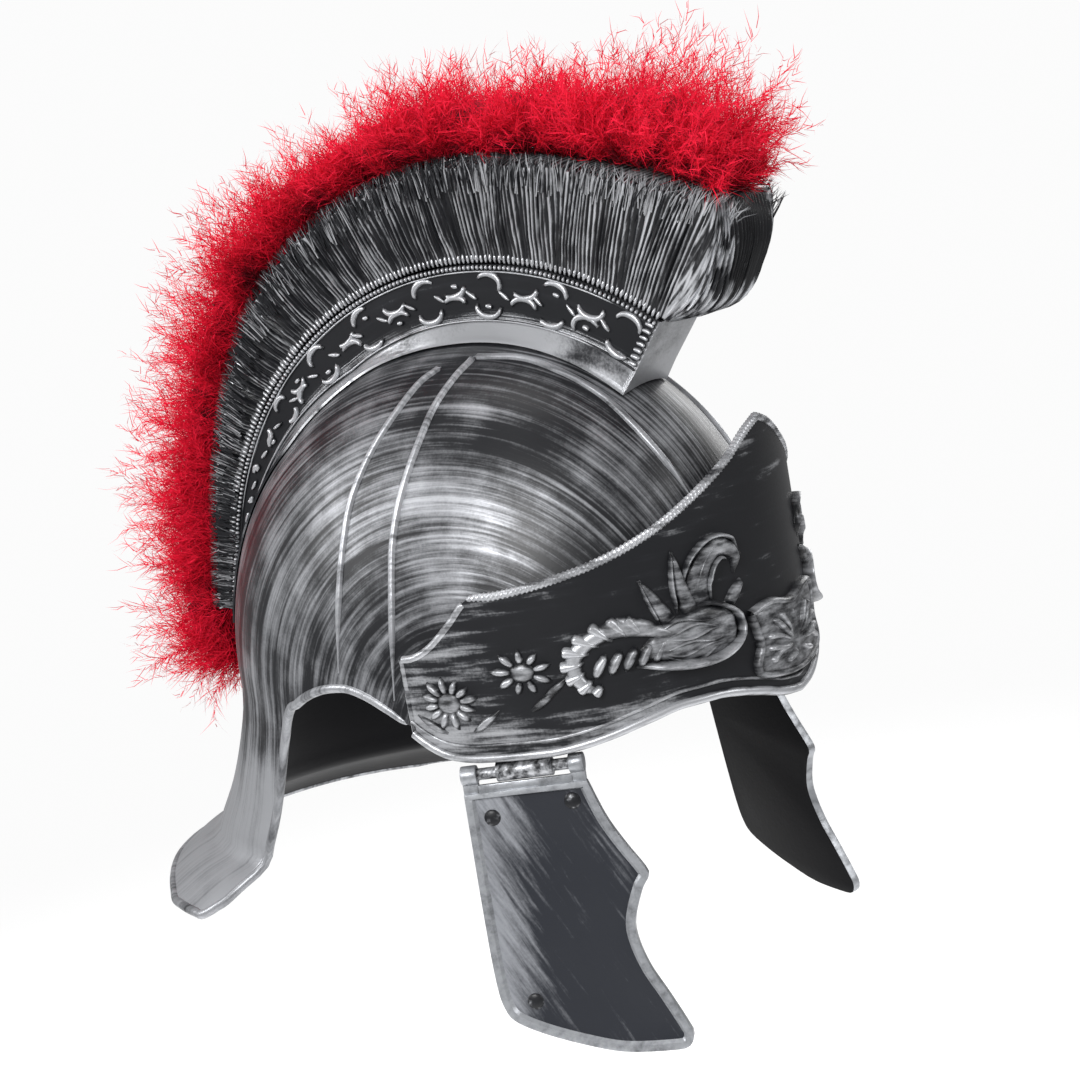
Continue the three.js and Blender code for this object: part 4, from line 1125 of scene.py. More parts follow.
# %% Surface of the comb
COMB_HEIGHT, COMB_HALF, COMB_BASE, NOSE = 47.0, 29.0, 17.5, 5.7
COMB = {
    "angle": [-38.8, -33, -22, -5, 12, 28, 42, 55, 70, 86],
    "up": [1.26, 1.14, 1.02, 0.93, 0.83, 0.7, 0.52, 0.36, 0.26, 0.2],
    "half": [0.88, 0.97, 1, 1, 1, 0.97, 0.9, 0.82, 0.74, 0.68],
}
NOSE_OUT = {"up": [0, 0.2, 0.38, 0.57, 0.8, 1], "out": [0.12, 0.82, 1, 0.88, 0.62, 0.1]}
NOSE_IN = {"step": [0, 0.35, 0.62, 0.85, 1], "ahead": [1, 1, 0.86, 0.5, 0],
           "narrow": [0, 0.5, 0.78, 0.95, 1]}
NOSE_SHARE, NOSE_TURN = 0.1, 9
TUFTS, STRANDS = 38, 200
ROUND_TOP, CROWN, SIDE = 0.46, 0.18, 0.82
UNDER, UNDER_SPAN = 0.92, 0.08


def comb_top(angle):
    return box_top(angle) + COMB_HEIGHT * curve(COMB, "angle", angle, "up")


def strand_wave(angle, up, side):
    """Height of the strands, 0 in the grooves and 1 on the crests, and of the tufts."""
    run = (angle - CREST_FRONT) / (CREST_BACK - CREST_FRONT)
    wander = 0.5 * np.sin(run * 61 + side * 2 + up * 1.8) + 0.35 * np.sin(run * 133 + up * 3)
    phase = run * STRANDS + wander * (0.4 + up) + 0.5 * side
    strand = (0.5 + 0.5 * np.cos(2 * math.pi * phase)) ** 0.8
    tuft = np.abs(np.cos(math.pi * (run * TUFTS + 0.25 * np.sin(run * 37)))) ** 0.5
    which = np.floor(phase + 0.5)
    chance = np.modf(np.abs(np.sin(which * 12.9898 + side * 4.1) * 43758.5453))[0]
    return strand, tuft, chance


def comb_place(u, v):
    """Up one side, over the top, down the other side and back underneath."""
    nose = u < NOSE_SHARE
    behind = (u - NOSE_SHARE) / (1 - NOSE_SHARE) * (CREST_BACK - CREST_FRONT)
    angle = np.where(nose, CREST_FRONT, CREST_FRONT + behind)
    step = np.clip(u / NOSE_SHARE, 0, 1)
    ahead = np.where(nose, curve(NOSE_IN, "step", step, "ahead"), 0)
    narrow = np.where(nose, curve(NOSE_IN, "step", step, "narrow"), 1)
    side = np.sign(0.5 - v)
    w = np.abs(v - ROUND_TOP) / ROUND_TOP
    under = v > UNDER
    up = np.clip((1 - w) / SIDE, 0, 1)
    over = np.clip(w / CROWN, 0, 1)
    foot, top = box_top(angle) + SEAT, comb_top(angle)
    half = COMB_HALF * curve(COMB, "angle", angle, "half")
    out = COMB_BASE + (half - COMB_BASE) * np.interp(up, [0, 0.3, 0.75, 1], [0, 0.45, 0.85, 1])
    strand, tuft, chance = strand_wave(angle + (1 - step) * NOSE_TURN * side, up, side)
    fade = ease(up, 0.02, 0.2)
    gap = 1.2 + 1.6 * (1 - up) * ease(angle, -25, 10)
    out = out - fade * (1.1 * (1 - strand) + gap * (1 - tuft))
    radius = foot + (top - foot) * up - (1.2 + 2.4 * chance) * ease(up, 0.86, 1) * (w > 0.16)
    on_top = w < CROWN
    x = np.where(on_top, out * over, out) * np.sign(ROUND_TOP - v)
    radius = np.where(on_top, top + 1.0 * (1 - over) - 1.6 * over, radius)
    x = np.where(under, COMB_BASE * (2 * (v - UNDER) / UNDER_SPAN - 1), x)
    radius = np.where(under, foot, radius)
    front_top = comb_top(np.array([CREST_FRONT]))[0]
    share = np.clip((radius - CREST_RADIUS) / (front_top - CREST_RADIUS), 0, 1)
    belly = curve(NOSE_OUT, "up", share, "out")
    ripple = 0.12 * (strand - 1) * nose
    return crest_point(angle - NOSE * ahead * belly * (1 + ripple * ahead), radius, x * narrow)


comb = grid("comb_bristle", 1020, 42, comb_place, holes=True)
print("comb:", len(comb.data.polygons), "faces")


# %% Silver on the comb
def comb_grain(radius, angle, side):
    """Strokes along the strands, apart from each other on the two sides."""
    return np.stack([radius, angle * 3.1, side * 20], 1) * MM


def comb_cover(points):
    """Silver on the strands' crests, more at the tips and the nose, none on its dark patch."""
    angle, radius = crest_place_of(points)
    foot, top = box_top(angle) + SEAT, comb_top(np.maximum(angle, CREST_FRONT))
    up = np.clip((radius - foot) / (top - foot), 0, 1)
    side = np.sign(points[:, 0])
    nose = angle < CREST_FRONT - 0.25
    share = np.abs(points[:, 0]) / (COMB_HALF * 0.9)
    spot = np.where(nose, CREST_FRONT + (1 - share) * NOSE_TURN * side, angle)
    strand, tuft, chance = strand_wave(spot, up, side)
    lit = ease(strand, 0.4, 0.9) * (0.45 + 0.75 * chance) * (0.35 + 0.65 * tuft)
    lit = lit * (0.8 + 0.5 * ease(up, 0.45, 1)) * (1 - 0.2 * ease(angle, 30, 80))
    lit = lit * (1 + 0.4 * (1 - ease(angle, -34, 12)))
    lit = np.where(nose, lit * 1.2 + 0.16 + 0.3 * (1 - ease(up, 0.34, 0.5)), lit)
    patch = 1 - np.where(nose, ease(up, 0.42, 0.56) * (1 - ease(share, 0.45, 0.68)), 0)
    return -0.06 + 0.84 * lit * patch + 0.14 * ease(up, 0.88, 1) * patch


points = coordinates(comb)
angle, radius = crest_place_of(points)
cover = comb_cover(points)
brush(comb, comb_grain(radius, angle, np.sign(points[:, 0])), cover)
comb_paint = brushed("comb_brushed_plastic", stroke=(70, 420, 1), hard=0.62)
print("silver on the comb:", round(float(cover.mean()), 3), "on average")

# %% [markdown]
# Where the comb's strands end, the real moulding has loose points of many lengths. They
# could be pulled out of the comb's own faces. Free ribbons were chosen, each of two
# tapered faces, because the same ribbon later serves the barbs of the plume.

# %% Free tips of the comb
BLADE_POINTS = 5


def blades(name, corners, values, marks):
    """Thin tapered ribbons of two faces as one piece, five points to a ribbon."""
    count = len(corners)
    start = np.arange(count)[:, None] * BLADE_POINTS
    mesh = bpy.data.meshes.new(name)
    mesh.vertices.add(count * BLADE_POINTS)
    mesh.vertices.foreach_set("co", (corners * MM).ravel())
    loops = np.concatenate([start + [0, 1, 3, 2], start + [2, 3, 4]], axis=1).ravel()
    sizes = np.tile([4, 3], count)
    mesh.loops.add(len(loops))
    mesh.loops.foreach_set("vertex_index", loops)
    mesh.polygons.add(len(sizes))
    mesh.polygons.foreach_set("loop_start", np.concatenate([[0], np.cumsum(sizes)[:-1]]))
    mesh.update(calc_edges=True)
    made = new_piece(name, mesh)
    mark(made, marks, values)
    return made


TIPS = 2600
TIP_HALF = 0.3
LEVELS = [(-1.0, 0.0, 0.955, 0.0), (-0.4, 0.0, 0.99, 0.3), (0.0, 2.6, 1.0, 1.0)]
angle = random.uniform(CREST_FRONT - 3, CREST_BACK, TIPS)
side = np.where(random.random(TIPS) < 0.5, -1.0, 1.0)
on_top = np.maximum(angle, CREST_FRONT)
half = COMB_HALF * curve(COMB, "angle", on_top, "half") * np.where(angle < CREST_FRONT, 0.75, 1)
reach = random.uniform(0.82, 1.0, TIPS)
base = comb_top(on_top)
sway = random.normal(0, 0.8, TIPS)
depth = random.uniform(3.5, 15, TIPS)
spine = [crest_point(angle + sway * lean, base + depth * share + rise * reach,
                     side * half * wide * (0.9 + 0.1 * reach))
         for share, rise, wide, lean in LEVELS]
aside = np.stack([0 * angle, np.cos(np.radians(angle)), -np.sin(np.radians(angle))], 1) * TIP_HALF
ribbons = np.stack([spine[0] - aside, spine[0] + aside, spine[1] - aside * 0.8,
                    spine[1] + aside * 0.8, spine[2]], 1)
front_lit = 0.12 + 0.42 * (1 - ease(angle, -32, 5))
bright = np.clip(random.normal(0, 0.3, TIPS) + front_lit, -0.2, 0.9)
tips = blades("comb_tips", ribbons, np.repeat(bright, BLADE_POINTS), "cover")
mark(tips, "grain", comb_grain(ribbons.reshape(-1, 3)[:, 2], np.repeat(angle, BLADE_POINTS),
                               np.repeat(side, BLADE_POINTS)))
for piece in (comb, tips):
    dress(piece, comb_paint, "helmet")
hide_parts("crest_comb")
print("free tips:", len(tips.data.polygons), "faces")

# %% [markdown]
# Marabou is the soft down of a feather: a short stem with hundreds of loose barbs that
# curl and mix with their neighbours. It could be a rough body with a fluffy bump, but its
# outline would stay hard. Hair strands could be grown and turned into a mesh. Ribbons
# were chosen, since each then has its own place, width and painted shade: a feather is a
# bent stem rooted on the comb, and each of its barbs is a tapered ribbon of two faces. A
# dark red core under them is painted shade, standing for the shadow deep in the plume,
# and closes the view into it.

# %% Core of the plume: painted shade deep inside
PLUME_HEIGHT, PLUME_HALF = 46.0, 33.0
PLUME = {
    "angle": [-40.5, -38.5, -35, -28, -18, -8, 2, 12, 26, 40, 54, 68, 80, 90, 96, 99],
    "up": [0.14, 0.5, 0.78, 1.02, 0.8, 0.8, 0.96, 0.88, 0.98, 0.98, 1, 0.98, 0.92, 1.04, 0.8,
           0.45],
    "half": [0.3, 0.7, 0.95, 1, 0.95, 0.93, 1, 0.95, 1, 1, 0.98, 0.93, 0.86, 0.78, 0.55, 0.25],
}
CORE_FRONT, CORE_BACK, CORE_UP, CORE_SIDE = -38.5, 97, 0.5, 0.62


def on_comb(angle):
    return np.clip(angle, CREST_FRONT, CREST_BACK)


def plume_core_place(u, v):
    """A lumpy roll along the comb's top that closes at both ends."""
    angle = CORE_FRONT + u * (CORE_BACK - CORE_FRONT)
    turn = 2 * math.pi * v
    rise = PLUME_HEIGHT * curve(PLUME, "angle", angle, "up") * CORE_UP
    half = PLUME_HALF * curve(PLUME, "angle", angle, "half") * CORE_SIDE
    lump = 1 + 0.13 * np.sin(angle * 0.42 + 3 * np.cos(turn)) + 0.07 * np.sin(angle * 1.3 + 5 * turn)
    close = np.sqrt(np.clip(1 - np.abs(2 * u - 1) ** 24, 0, 1))
    top = comb_top(np.minimum(angle, CREST_BACK))
    radius = top + 1.6 + rise * close * lump * (1 + np.sin(turn)) / 2
    return crest_point(angle, radius, half * close * np.cos(turn) * lump)


core = grid("plume_shade_core", 260, 40, plume_core_place, holes=True)
points = coordinates(core)
# The core's shade value is low, so it is painted dark red as shadow.
mark(core, "shade", 0.12 + 0.1 * np.sin(points[:, 1] * 0.3))
print("core:", len(core.data.polygons), "faces")

# %% Barbs of the plume
FEATHERS = 4400
BARBS = 40
DOWN_FRONT, DOWN_BACK = -39, 96.5
FLUFF = {
    "angle": [-40, -36, -31, -26, -20, -14, -8, -4, 1, 5, 8, 12, 17, 24, 99],
    "by": [0.9, 1.0, 1.26, 1.16, 1.02, 0.96, 0.82, 0.8, 1.0, 1.1, 0.82, 0.76, 0.9, 0.97, 1.0],
}


def barb_parts():
    """Arrays of barb roots, directions, bends, lengths and painted shades."""
    angle = DOWN_FRONT + random.random(FEATHERS) ** 0.95 * (DOWN_BACK - DOWN_FRONT)
    height = PLUME_HEIGHT * curve(PLUME, "angle", angle, "up")
    half = PLUME_HALF * curve(PLUME, "angle", angle, "half")
    spread_side = random.uniform(-1, 1, FEATHERS)
    comb_half = COMB_HALF * curve(COMB, "angle", on_comb(angle), "half")
    root = crest_point(angle, comb_top(on_comb(angle)) - 1,
                       spread_side * np.minimum(comb_half * 0.8, half * 0.7))
    radial = crest_point(angle, 1.0 + 0 * angle, 0 * angle) - [0, CREST_Y, CREST_Z]
    tangent = np.cross([1.0, 0, 0], radial)
    clump = np.sin(angle * 0.55) * 0.28 + np.sin(angle * 1.7 + 2) * 0.18
    lean = (clump + random.normal(0, 0.42, FEATHERS))[:, None]
    out = spread_side * (0.35 + 0.5 * random.random(FEATHERS)) + random.normal(0, 0.16, FEATHERS)
    direction = unit(radial + tangent * lean + np.array([1.0, 0, 0]) * out[:, None])
    tuft = 0.86 + 0.16 * np.sin(angle * 0.9 + 1) * np.sin(angle * 0.31)
    fluff = curve(FLUFF, "angle", angle, "by")
    length = height * tuft * fluff * random.uniform(0.5, 1.06, FEATHERS)
    bend = unit(random.normal(0, 1, (FEATHERS, 3)) + tangent * 0.3) * (0.34 * length)[:, None]
    s = np.linspace(0.12, 1, BARBS) + random.uniform(-0.02, 0.02, (FEATHERS, BARBS))
    stem = (root[:, None] + direction[:, None] * (length[:, None] * s)[..., None]
            + bend[:, None] * (s ** 2)[..., None])
    axis = unit(direction[:, None] * length[:, None, None] + 2 * bend[:, None] * s[..., None])
    wild = random.normal(0, 1, (FEATHERS, BARBS, 3))
    side = unit(wild - axis * np.sum(wild * axis, axis=-1, keepdims=True))
    rise = random.uniform(0.45, 1.9, (FEATHERS, BARBS))[..., None]
    heading = unit(side + axis * rise)
    size = random.uniform(6, 15, (FEATHERS, BARBS)) * (1.05 - 0.45 * s)
    curl = unit(random.normal(0, 1, (FEATHERS, BARBS, 3)) + axis * 0.5)
    # Painted shade and highlight: barbs darker deep in the plume and brighter outwards, with dark folds
    # between tufts, some random tone, and a lighter rear that stands in for light.
    depth = np.clip(s * length[:, None] / np.maximum(height[:, None], 1), 0, 1)
    fold_shade = 0.27 * np.sin(angle * 0.62 + 2.6 * spread_side) * np.sin(angle * 0.23 + 1)
    painted_shade_and_tone = fold_shade[:, None] + random.normal(0, 0.08, (FEATHERS, 1))
    floor_shade = (0.22 + 0.34 * ease(angle, 30, 60))[:, None]
    shade = floor_shade + 0.78 * ease(depth, 0.02, 0.62) + painted_shade_and_tone
    shade = np.clip(shade + random.normal(0, 0.08, s.shape), 0, 1)
    return [part.reshape(-1, part.shape[-1]) if part.ndim == 3 else part.ravel()
            for part in (stem, heading, curl, size, shade)]


BARB_HALF = 0.165
stem, heading, curl, size, shade = barb_parts()
flat = unit(np.cross(heading, random.normal(0, 1, heading.shape))) * BARB_HALF
reach = size[:, None]
middle = stem + heading * reach * 0.55 + curl * reach * 0.1
tip = stem + heading * reach * 0.9 + curl * reach * 0.5
corners = np.stack([stem - flat, stem + flat, middle - flat * 0.8, middle + flat * 0.8, tip], 1)
print("barbs:", len(corners))

# %% [markdown]
# The down may stray a little past the CAD part's box, and what strays further is left
# out. The barbs are dealt out by chance to four pieces of equal size, so that none of
# them is too heavy, and each barb's painted shade goes from dark red at its root, deep in
# the plume where shade falls, to bright crimson at its tip, a painted highlight.

# %% Down of the plume
STRAY, PARTS = 8, 4
# Painted shade at each barb's root and a painted highlight at its tip.
GLOW = [-0.05, -0.05, 0.02, 0.02, 0.1]
# Painted shadow red, the down's own crimson, and a painted highlight red for the tips.
SHADOW_RED, DOWN_RED, HIGHLIGHT_RED = (0.07, 0.0, 0.004, 1), (0.6, 0.004, 0.022, 1), (0.8, 0.012, 0.046, 1)
low_corner = np.array(cad_box[0]) / MM - STRAY
high_corner = np.array(cad_box[1]) / MM + STRAY
kept = np.all((corners > low_corner) & (corners < high_corner), axis=(1, 2))
corners, shade = corners[kept], shade[kept]
order = random.permutation(len(corners))
plume = [core]
for part in range(PARTS):
    chosen = order[part::PARTS]
    values = np.repeat(shade[chosen], BLADE_POINTS) + np.tile(GLOW, len(chosen))
    plume.append(blades(f"plume_barbs_{part + 1}", corners[chosen], values, "shade"))

# The down's colour goes from painted shadow through its crimson to painted highlight, by the shade
# attribute.
feather = Paint("crimson_down_painted_shade")
painted_shade_and_tone = feather.attribute("shade", 2)
red = feather.blend(feather.step(painted_shade_and_tone, 0.05, 0.55), SHADOW_RED, DOWN_RED)
red = feather.blend(feather.step(painted_shade_and_tone, 0.5, 1.1), red, HIGHLIGHT_RED)
feather_paint = feather.finish({"Base Color": red}, {"Roughness": 0.75, "Specular IOR Level": 0.15})
for piece in plume:
    dress(piece, feather_paint, "helmet")
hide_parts("plume")
print("plume:", len(corners), "barbs in", PARTS, "pieces")

# %% [markdown]
# Each cheek guard hangs from a plain bar hinge under the plate: a leaf with the middle
# knuckle, a pin, and two knuckles on the guard. The hinge sits askew on the helmet, so
# it could be turned there as an object. Its pieces are drawn straight, along the hinge,
# outwards and up, and one function puts their points in place, so that the pin, both
# leaves and the guard can't drift apart.

# %% Hinge frame
HINGE_TURN, HINGE_LENGTH, TOE_IN, SPLAY = 80.8, 50.0, 24.0, 6.0
OUTSET, PIN, KNUCKLE, RUNNING = 0.5, 2.4, 3.9, 0.5
SPOTS = {"rear": (0, 6.5), "middle": (14.5, 37.5), "front": (44, 50)}
LOWEST = -0.065 * PEAK
ROD_EDGE, SLAB_EDGE = 0.45, 0.3


def hinge_place(points, side, splay):
    """Points given along the hinge, outwards and up, put in their place on the helmet."""
    toe, lean = math.radians(TOE_IN), math.radians(splay)
    height = np.array([LOWEST - KNUCKLE - RUNNING])
    rear = brow_point(np.array([side * HINGE_TURN]), height, OUTSET)[0]
    along = np.array([-side * math.sin(toe), -math.cos(toe), 0])
    out = np.array([side * math.cos(toe), -math.sin(toe), 0])
    high = np.array([0, 0, 1.0])
    up = high * math.cos(lean) - out * math.sin(lean)
    outward = out * math.cos(lean) + high * math.sin(lean)
    return rear + points[:, :1] * along + points[:, 1:2] * outward + points[:, 2:] * up


def sleeve(name, radius, start, end):
    """A turned rod along the hinge with softened ends."""
    piece = primitive(name, bpy.ops.mesh.primitive_cylinder_add, vertices=36, radius=radius * MM,
                      depth=(end - start) * MM)
    modify(piece, "BEVEL", width=ROD_EDGE * MM, segments=2, limit_method="ANGLE")
    points = coordinates(piece)
    reshape(piece, np.stack([points[:, 2] + (start + end) / 2, points[:, 0], points[:, 1]], 1))
    return piece


def slab(name, along, outward, up):
    """A small plate between three pairs of limits."""
    piece = primitive(name, bpy.ops.mesh.primitive_cube_add, size=1)
    points = own_units(piece) + 0.5
    limits = np.array([along, outward, up], float)
    reshape(piece, limits[:, 0] + points * (limits[:, 1] - limits[:, 0]))
    modify(piece, "BEVEL", width=SLAB_EDGE * MM, segments=2)
    return piece


def seat(piece, side, splay):
    """Puts a piece drawn on the hinge in its place and turns its faces outwards."""
    reshape(piece, hinge_place(coordinates(piece), side, splay))
    pick(piece)
    edit_all()
    bpy.ops.mesh.normals_make_consistent(inside=False)
    bpy.ops.object.mode_set(mode="OBJECT")
    soften(piece, 35)


print("hinge:", HINGE_LENGTH, "mm long, with knuckles at", SPOTS)

# %% [markdown]
# The guards are brushed along a slant, with more silver behind than in front, and their
# rim is nearly plain silver. An attribute could say so, but the flat face has far too
# few vertices for it. Its paint reads the piece's own coordinates instead.

# %% Paints of guards and hinges
GUARD_SLANT = 30
REAR_ZONE, LOW_ZONE, ZONE_SLANT = (-0.036, -0.002), (-0.124, -0.1), -0.06


def slanted_place(paint):
    """Strokes across the guard at a slant."""
    return paint.node("ShaderNodeMapping", {"vector_type": "POINT"}, {
        "Vector": own_place(paint), "Rotation": (math.radians(GUARD_SLANT), 0, 0)})


def guard_cover(paint):
    """More silver along the rear half of the guard, fading to the front and below."""
    place = own_place(paint)
    behind = paint.node("ShaderNodeSeparateXYZ", inputs={0: place}, out=1)
    high = paint.node("ShaderNodeSeparateXYZ", inputs={0: place}, out=2)
    rear = paint.step(behind + high * ZONE_SLANT, *REAR_ZONE)
    low = paint.step(high, *LOW_ZONE)
    return rear * low * 0.92 - 0.1


hinge_paint = brushed("hinge_brushed_plastic", stroke=SMALL_STROKE, hard=0.5, grain=own_place,
                      cover=0.42)
rim_paint = brushed("guard_rim_brushed_plastic", stroke=(90, 260, 260), hard=1.1,
                    silver=(0.42, 0.435, 0.46, 1), patchy=0.4, grain=own_place, cover=0.8)
rivet_paint = brushed("rivet_plastic", stroke=SMALL_STROKE, hard=0.5, grain=own_place, cover=0.2)
guard_paint = brushed("guard_brushed_plastic", stroke=(420, 420, 15), hard=1.0,
                      black=(0.02, 0.022, 0.028, 1), silver=(0.42, 0.435, 0.47, 1),
                      grain=slanted_place, cover=guard_cover, patchy=0.3)
print("paints:", hinge_paint.name, rim_paint.name, rivet_paint.name, guard_paint.name)

# %% [markdown]
# The guard is a flat moulding with a raised rim. Its face could be cut back by a boolean,
# but that leaves thin, uneven faces along a curved edge. A filled outline is extruded to
# its thickness instead, its face is inset and pushed back, and a bevel rounds the rim, so
# that the rim keeps one width all round. Rivets are low domes.

# %% Plate of the cheek guard
GUARD_WIDTH, GUARD_LENGTH, GUARD_TOP = 77.0, 119.0, 7.4
GUARD_WALL, GUARD_RIM, RIM_WIDTH, RIM_SLOPE, RIM_ROUND = 2.2, 1.5, 4.0, 1.2, 0.6
GUARD = [
    (0.003, 0.062), (0.003, 0.22), (0.003, 0.4), (0.006, 0.6), (0.014, 0.723), (0.03, 0.79),
    (0.077, 0.846), (0.222, 0.9), (0.432, 0.953), (0.635, 0.99), (0.874, 1), (0.965, 0.993),
    (0.996, 0.956), (0.979, 0.918), (0.905, 0.813), (0.827, 0.708), (0.786, 0.608),
    (0.792, 0.54), (0.85, 0.446), (0.888, 0.41), (0.882, 0.378), (0.8, 0.29), (0.72, 0.19),
    (0.652, 0.062),
]
OUTLINE_POINTS = 132


def guard_plate(name):
    """The filled outline, extruded, inset and rounded."""
    line = resample([(a * GUARD_WIDTH, -d * GUARD_LENGTH) for a, d in GUARD], OUTLINE_POINTS)
    plate = primitive(name, bpy.ops.mesh.primitive_circle_add, vertices=OUTLINE_POINTS, radius=1,
                      fill_type="NGON")
    reshape(plate, np.stack([line[:, 0], line[:, 1], 0 * line[:, 0] - GUARD_WALL / 2], 1))
    edit_all()
    bpy.ops.mesh.normals_make_consistent(inside=False)
    thick = GUARD_WALL + GUARD_RIM
    bpy.ops.mesh.extrude_region_move(TRANSFORM_OT_translate={"value": (0, 0, thick * MM)})
    for width in (RIM_WIDTH - RIM_SLOPE, RIM_SLOPE):
        bpy.ops.mesh.inset(thickness=width * MM, depth=0, use_even_offset=False)
    bpy.ops.transform.translate(value=(0, 0, -GUARD_RIM * MM))
    bpy.ops.object.mode_set(mode="OBJECT")
    modify(plate, "BEVEL", width=RIM_ROUND * MM, segments=3, limit_method="ANGLE",
           angle_limit=math.radians(35))
    reshape(plate, coordinates(plate)[:, [0, 2, 1]])
    for paint in (guard_paint, rim_paint, inside_bare_and_shade_paint):
        plate.data.materials.append(paint)
    largest = sorted(plate.data.polygons, key=lambda face: -face.area)[:2]
    for face in plate.data.polygons:
        face.material_index = 1
    # The front face gets the guard's paint and the back face the inner paint, darkened as painted
    # shade.
    for face in largest:
        face.material_index = 0 if face.center.y > 0 else 2
    return plate


print("guard:", len(GUARD), "rows in its outline")

# %% Cheek guards and hinges
WEB = (-1.1, 1.1)
WEB_LOW = -GUARD_TOP - 1.4
LEAF_OUT, LEAF_UP = (-1.8, -0.2), (2.9, 13.5)
RIVETS = [(0.13, 0.15), (0.56, 0.125), (0.2, 0.79)]
RIVET_RADIUS, RIVET_RISE, RIVET_OUT = 3.4, 1.1, 1.0


def rivet(across, down):
    """A low dome on the guard's face."""
    dome = primitive("rivet", bpy.ops.mesh.primitive_uv_sphere_add, segments=28, ring_count=12,
                     radius=1)
    ball = own_units(dome)
    reshape(dome, np.stack([across * GUARD_WIDTH + ball[:, 0] * RIVET_RADIUS,
                            RIVET_OUT + ball[:, 2] * RIVET_RISE,
                            -down * GUARD_LENGTH + ball[:, 1] * RIVET_RADIUS], 1))
    dome.data.materials.append(rivet_paint)
    return dome


def hung_guard(name):
    """The plate with its outer knuckles, webs, top strip and rivets."""
    plate = guard_plate(name)
    parts = []
    for spot in ("rear", "front"):
        parts.append(sleeve("knuckle", KNUCKLE, *SPOTS[spot]))
        parts.append(slab("web", SPOTS[spot], WEB, (WEB_LOW, -2.6)))
    parts.append(slab("top_strip", (SPOTS["rear"][1] - 1, SPOTS["front"][0] + 1), WEB,
                      (WEB_LOW, -KNUCKLE - 0.4)))
    for part in parts:
        part.data.materials.append(rim_paint)
    return join(name, [plate, *parts, *[rivet(*place) for place in RIVETS]])


for name, side in (("right", -1), ("left", 1)):
    leaf = join(f"hinge_leaf_fine_{name}", [sleeve("leaf", KNUCKLE, *SPOTS["middle"]),
                                            slab("leaf_plate", SPOTS["middle"], LEAF_OUT, LEAF_UP)])
    pin = sleeve(f"hinge_pin_fine_{name}", PIN, RUNNING, HINGE_LENGTH - RUNNING)
    guard = hung_guard(f"cheek_{name}")
    seat(leaf, side, 0)
    seat(pin, side, 0)
    seat(guard, side, SPLAY)
    for piece, node, slot, body in ((leaf, f"hinge_leaf_{name}", "hinge", "helmet"),
                                    (pin, f"hinge_pin_{name}", "hinge", "helmet"),
                                    (guard, f"cheek_guard_{name}", "cheek_guard", f"cheek_{name}")):
        if piece is not guard:
            piece.data.materials.clear()
            piece.data.materials.append(hinge_paint)
        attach(piece, body)
        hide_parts(node)
    print(guard.name, len(guard.data.polygons), "faces")

# %% [markdown]
# The set is a plain one: a pale floor well below the hanging helmet, a white surround,
# and large soft lamps as in a product studio. A floor without end would show a horizon
# behind the helmet, since the surround lights less than it shows. So the floor fades out
# into the surround all around.

# %% Floor
FLOOR_Z, FLOOR_SIZE, FADE, FLOOR_GLOW = -0.34, 4, (0.25, 1.15), 0.35
floor = primitive("studio_floor", bpy.ops.mesh.primitive_plane_add, size=FLOOR_SIZE,
                  location=(0, 0, FLOOR_Z))
pale = Paint("studio_pale")
from_middle = pale.node("ShaderNodeVectorMath", {"operation": "LENGTH"},
                        {0: pale.node("ShaderNodeTexCoord", out=3)}, out=1)
pale_paint = pale.finish({"Alpha": 1 - pale.step(from_middle, *FADE)},
                         {"Base Color": (0.93, 0.93, 0.93, 1), "Roughness": 0.9,
                          "Emission Color": (1, 1, 1, 1), "Emission Strength": FLOOR_GLOW})
floor.data.materials.append(pale_paint)
print("floor at", FLOOR_Z, "metres")

# %% [markdown]
# The light comes mostly from the wearer's right and from behind, as the gleam on the
# flank and along the ribs shows. It could come from the surround alone, but black
# plastic under an even light looks grey. Five round lamps, each more than half a metre
# wide and a little to one side, keep the black deep and give the silver its gleam.

# %% Lamps and surround
AIM = Vector((0, 0.03, 0.07))
SHOWN, SHINING = 0.97, 0.3


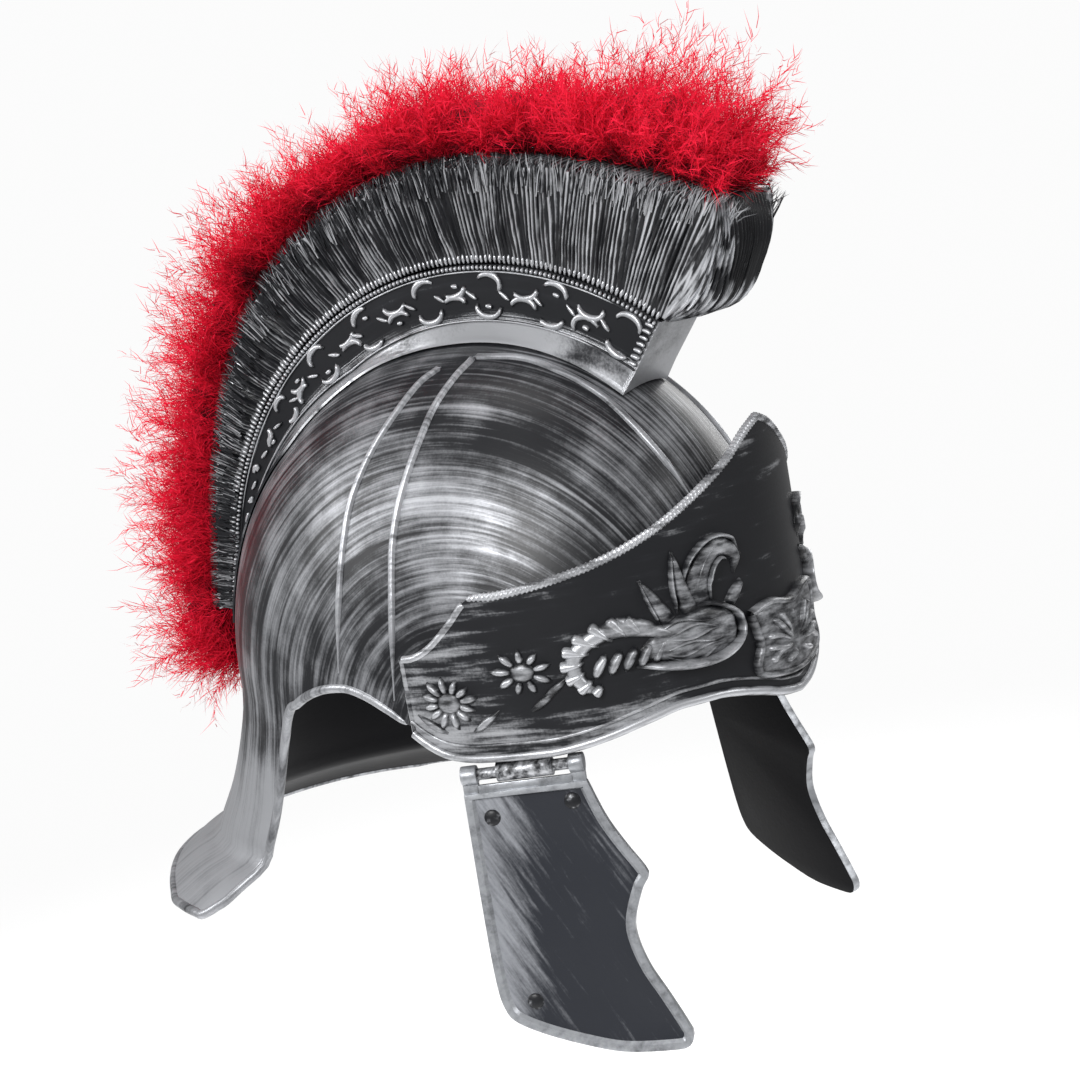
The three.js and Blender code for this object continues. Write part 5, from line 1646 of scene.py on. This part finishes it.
def lamp(name, place, size, power):
    """A round lamp that faces the middle of the helmet."""
    light = bpy.data.lights.new(name, "AREA")
    light.shape = "DISK"
    light.size = size
    light.energy = power
    made = new_piece(name, light)
    made.location = place
    made.rotation_euler = (AIM - Vector(place)).to_track_quat("-Z", "Y").to_euler()


lamp("key", (-1.25, -0.15, 0.75), 0.6, 18)
lamp("front", (0.2, -1.5, 0.7), 0.8, 9)
lamp("back", (-0.9, 1.2, 0.8), 0.8, 12)
lamp("top", (0.1, 0.1, 1.5), 0.9, 9)
lamp("fill", (1.3, -0.1, 0.5), 0.8, 6)

world = bpy.data.worlds.new("surround")
bpy.context.scene.world = world
world.use_nodes = True
sky = world.node_tree
sky.nodes.clear()
seen = sky.nodes.new("ShaderNodeLightPath")
both = sky.nodes.new("ShaderNodeMixShader")
last = sky.nodes.new("ShaderNodeOutputWorld")
sky.links.new(seen.outputs["Is Camera Ray"], both.inputs[0])
for socket, strength in ((1, SHINING), (2, SHOWN)):
    background = sky.nodes.new("ShaderNodeBackground")
    background.inputs["Color"].default_value = (1, 1, 1, 1)
    background.inputs["Strength"].default_value = strength
    sky.links.new(background.outputs[0], both.inputs[socket])
sky.links.new(both.outputs[0], last.inputs[0])
bpy.context.scene.view_settings.view_transform = "Standard"
print("lamps:", len(bpy.data.lights))

# %% [markdown]
# The camera stands ahead of the wearer's right side and a little above the brow. It could
# be placed by eye. Its place was worked out instead from points of the helmet that the
# photograph shows, so that the two pictures can be laid over each other.

# %% Camera
camera_data = bpy.data.cameras.new("camera")
camera_data.sensor_width = 36
camera_data.lens = 68.36
camera_data.clip_start = 0.05
camera_data.clip_end = 100
camera = new_piece("camera", camera_data)
camera.matrix_world = Matrix((
    (0.53397, 0.24379, -0.80959, -0.7215),
    (-0.82718, -0.04761, -0.55991, -0.4928),
    (-0.17504, 0.96866, 0.17623, 0.2189),
    (0, 0, 0, 1),
))
bpy.context.scene.camera = camera
print("camera at", [round(value, 3) for value in camera.matrix_world.translation])
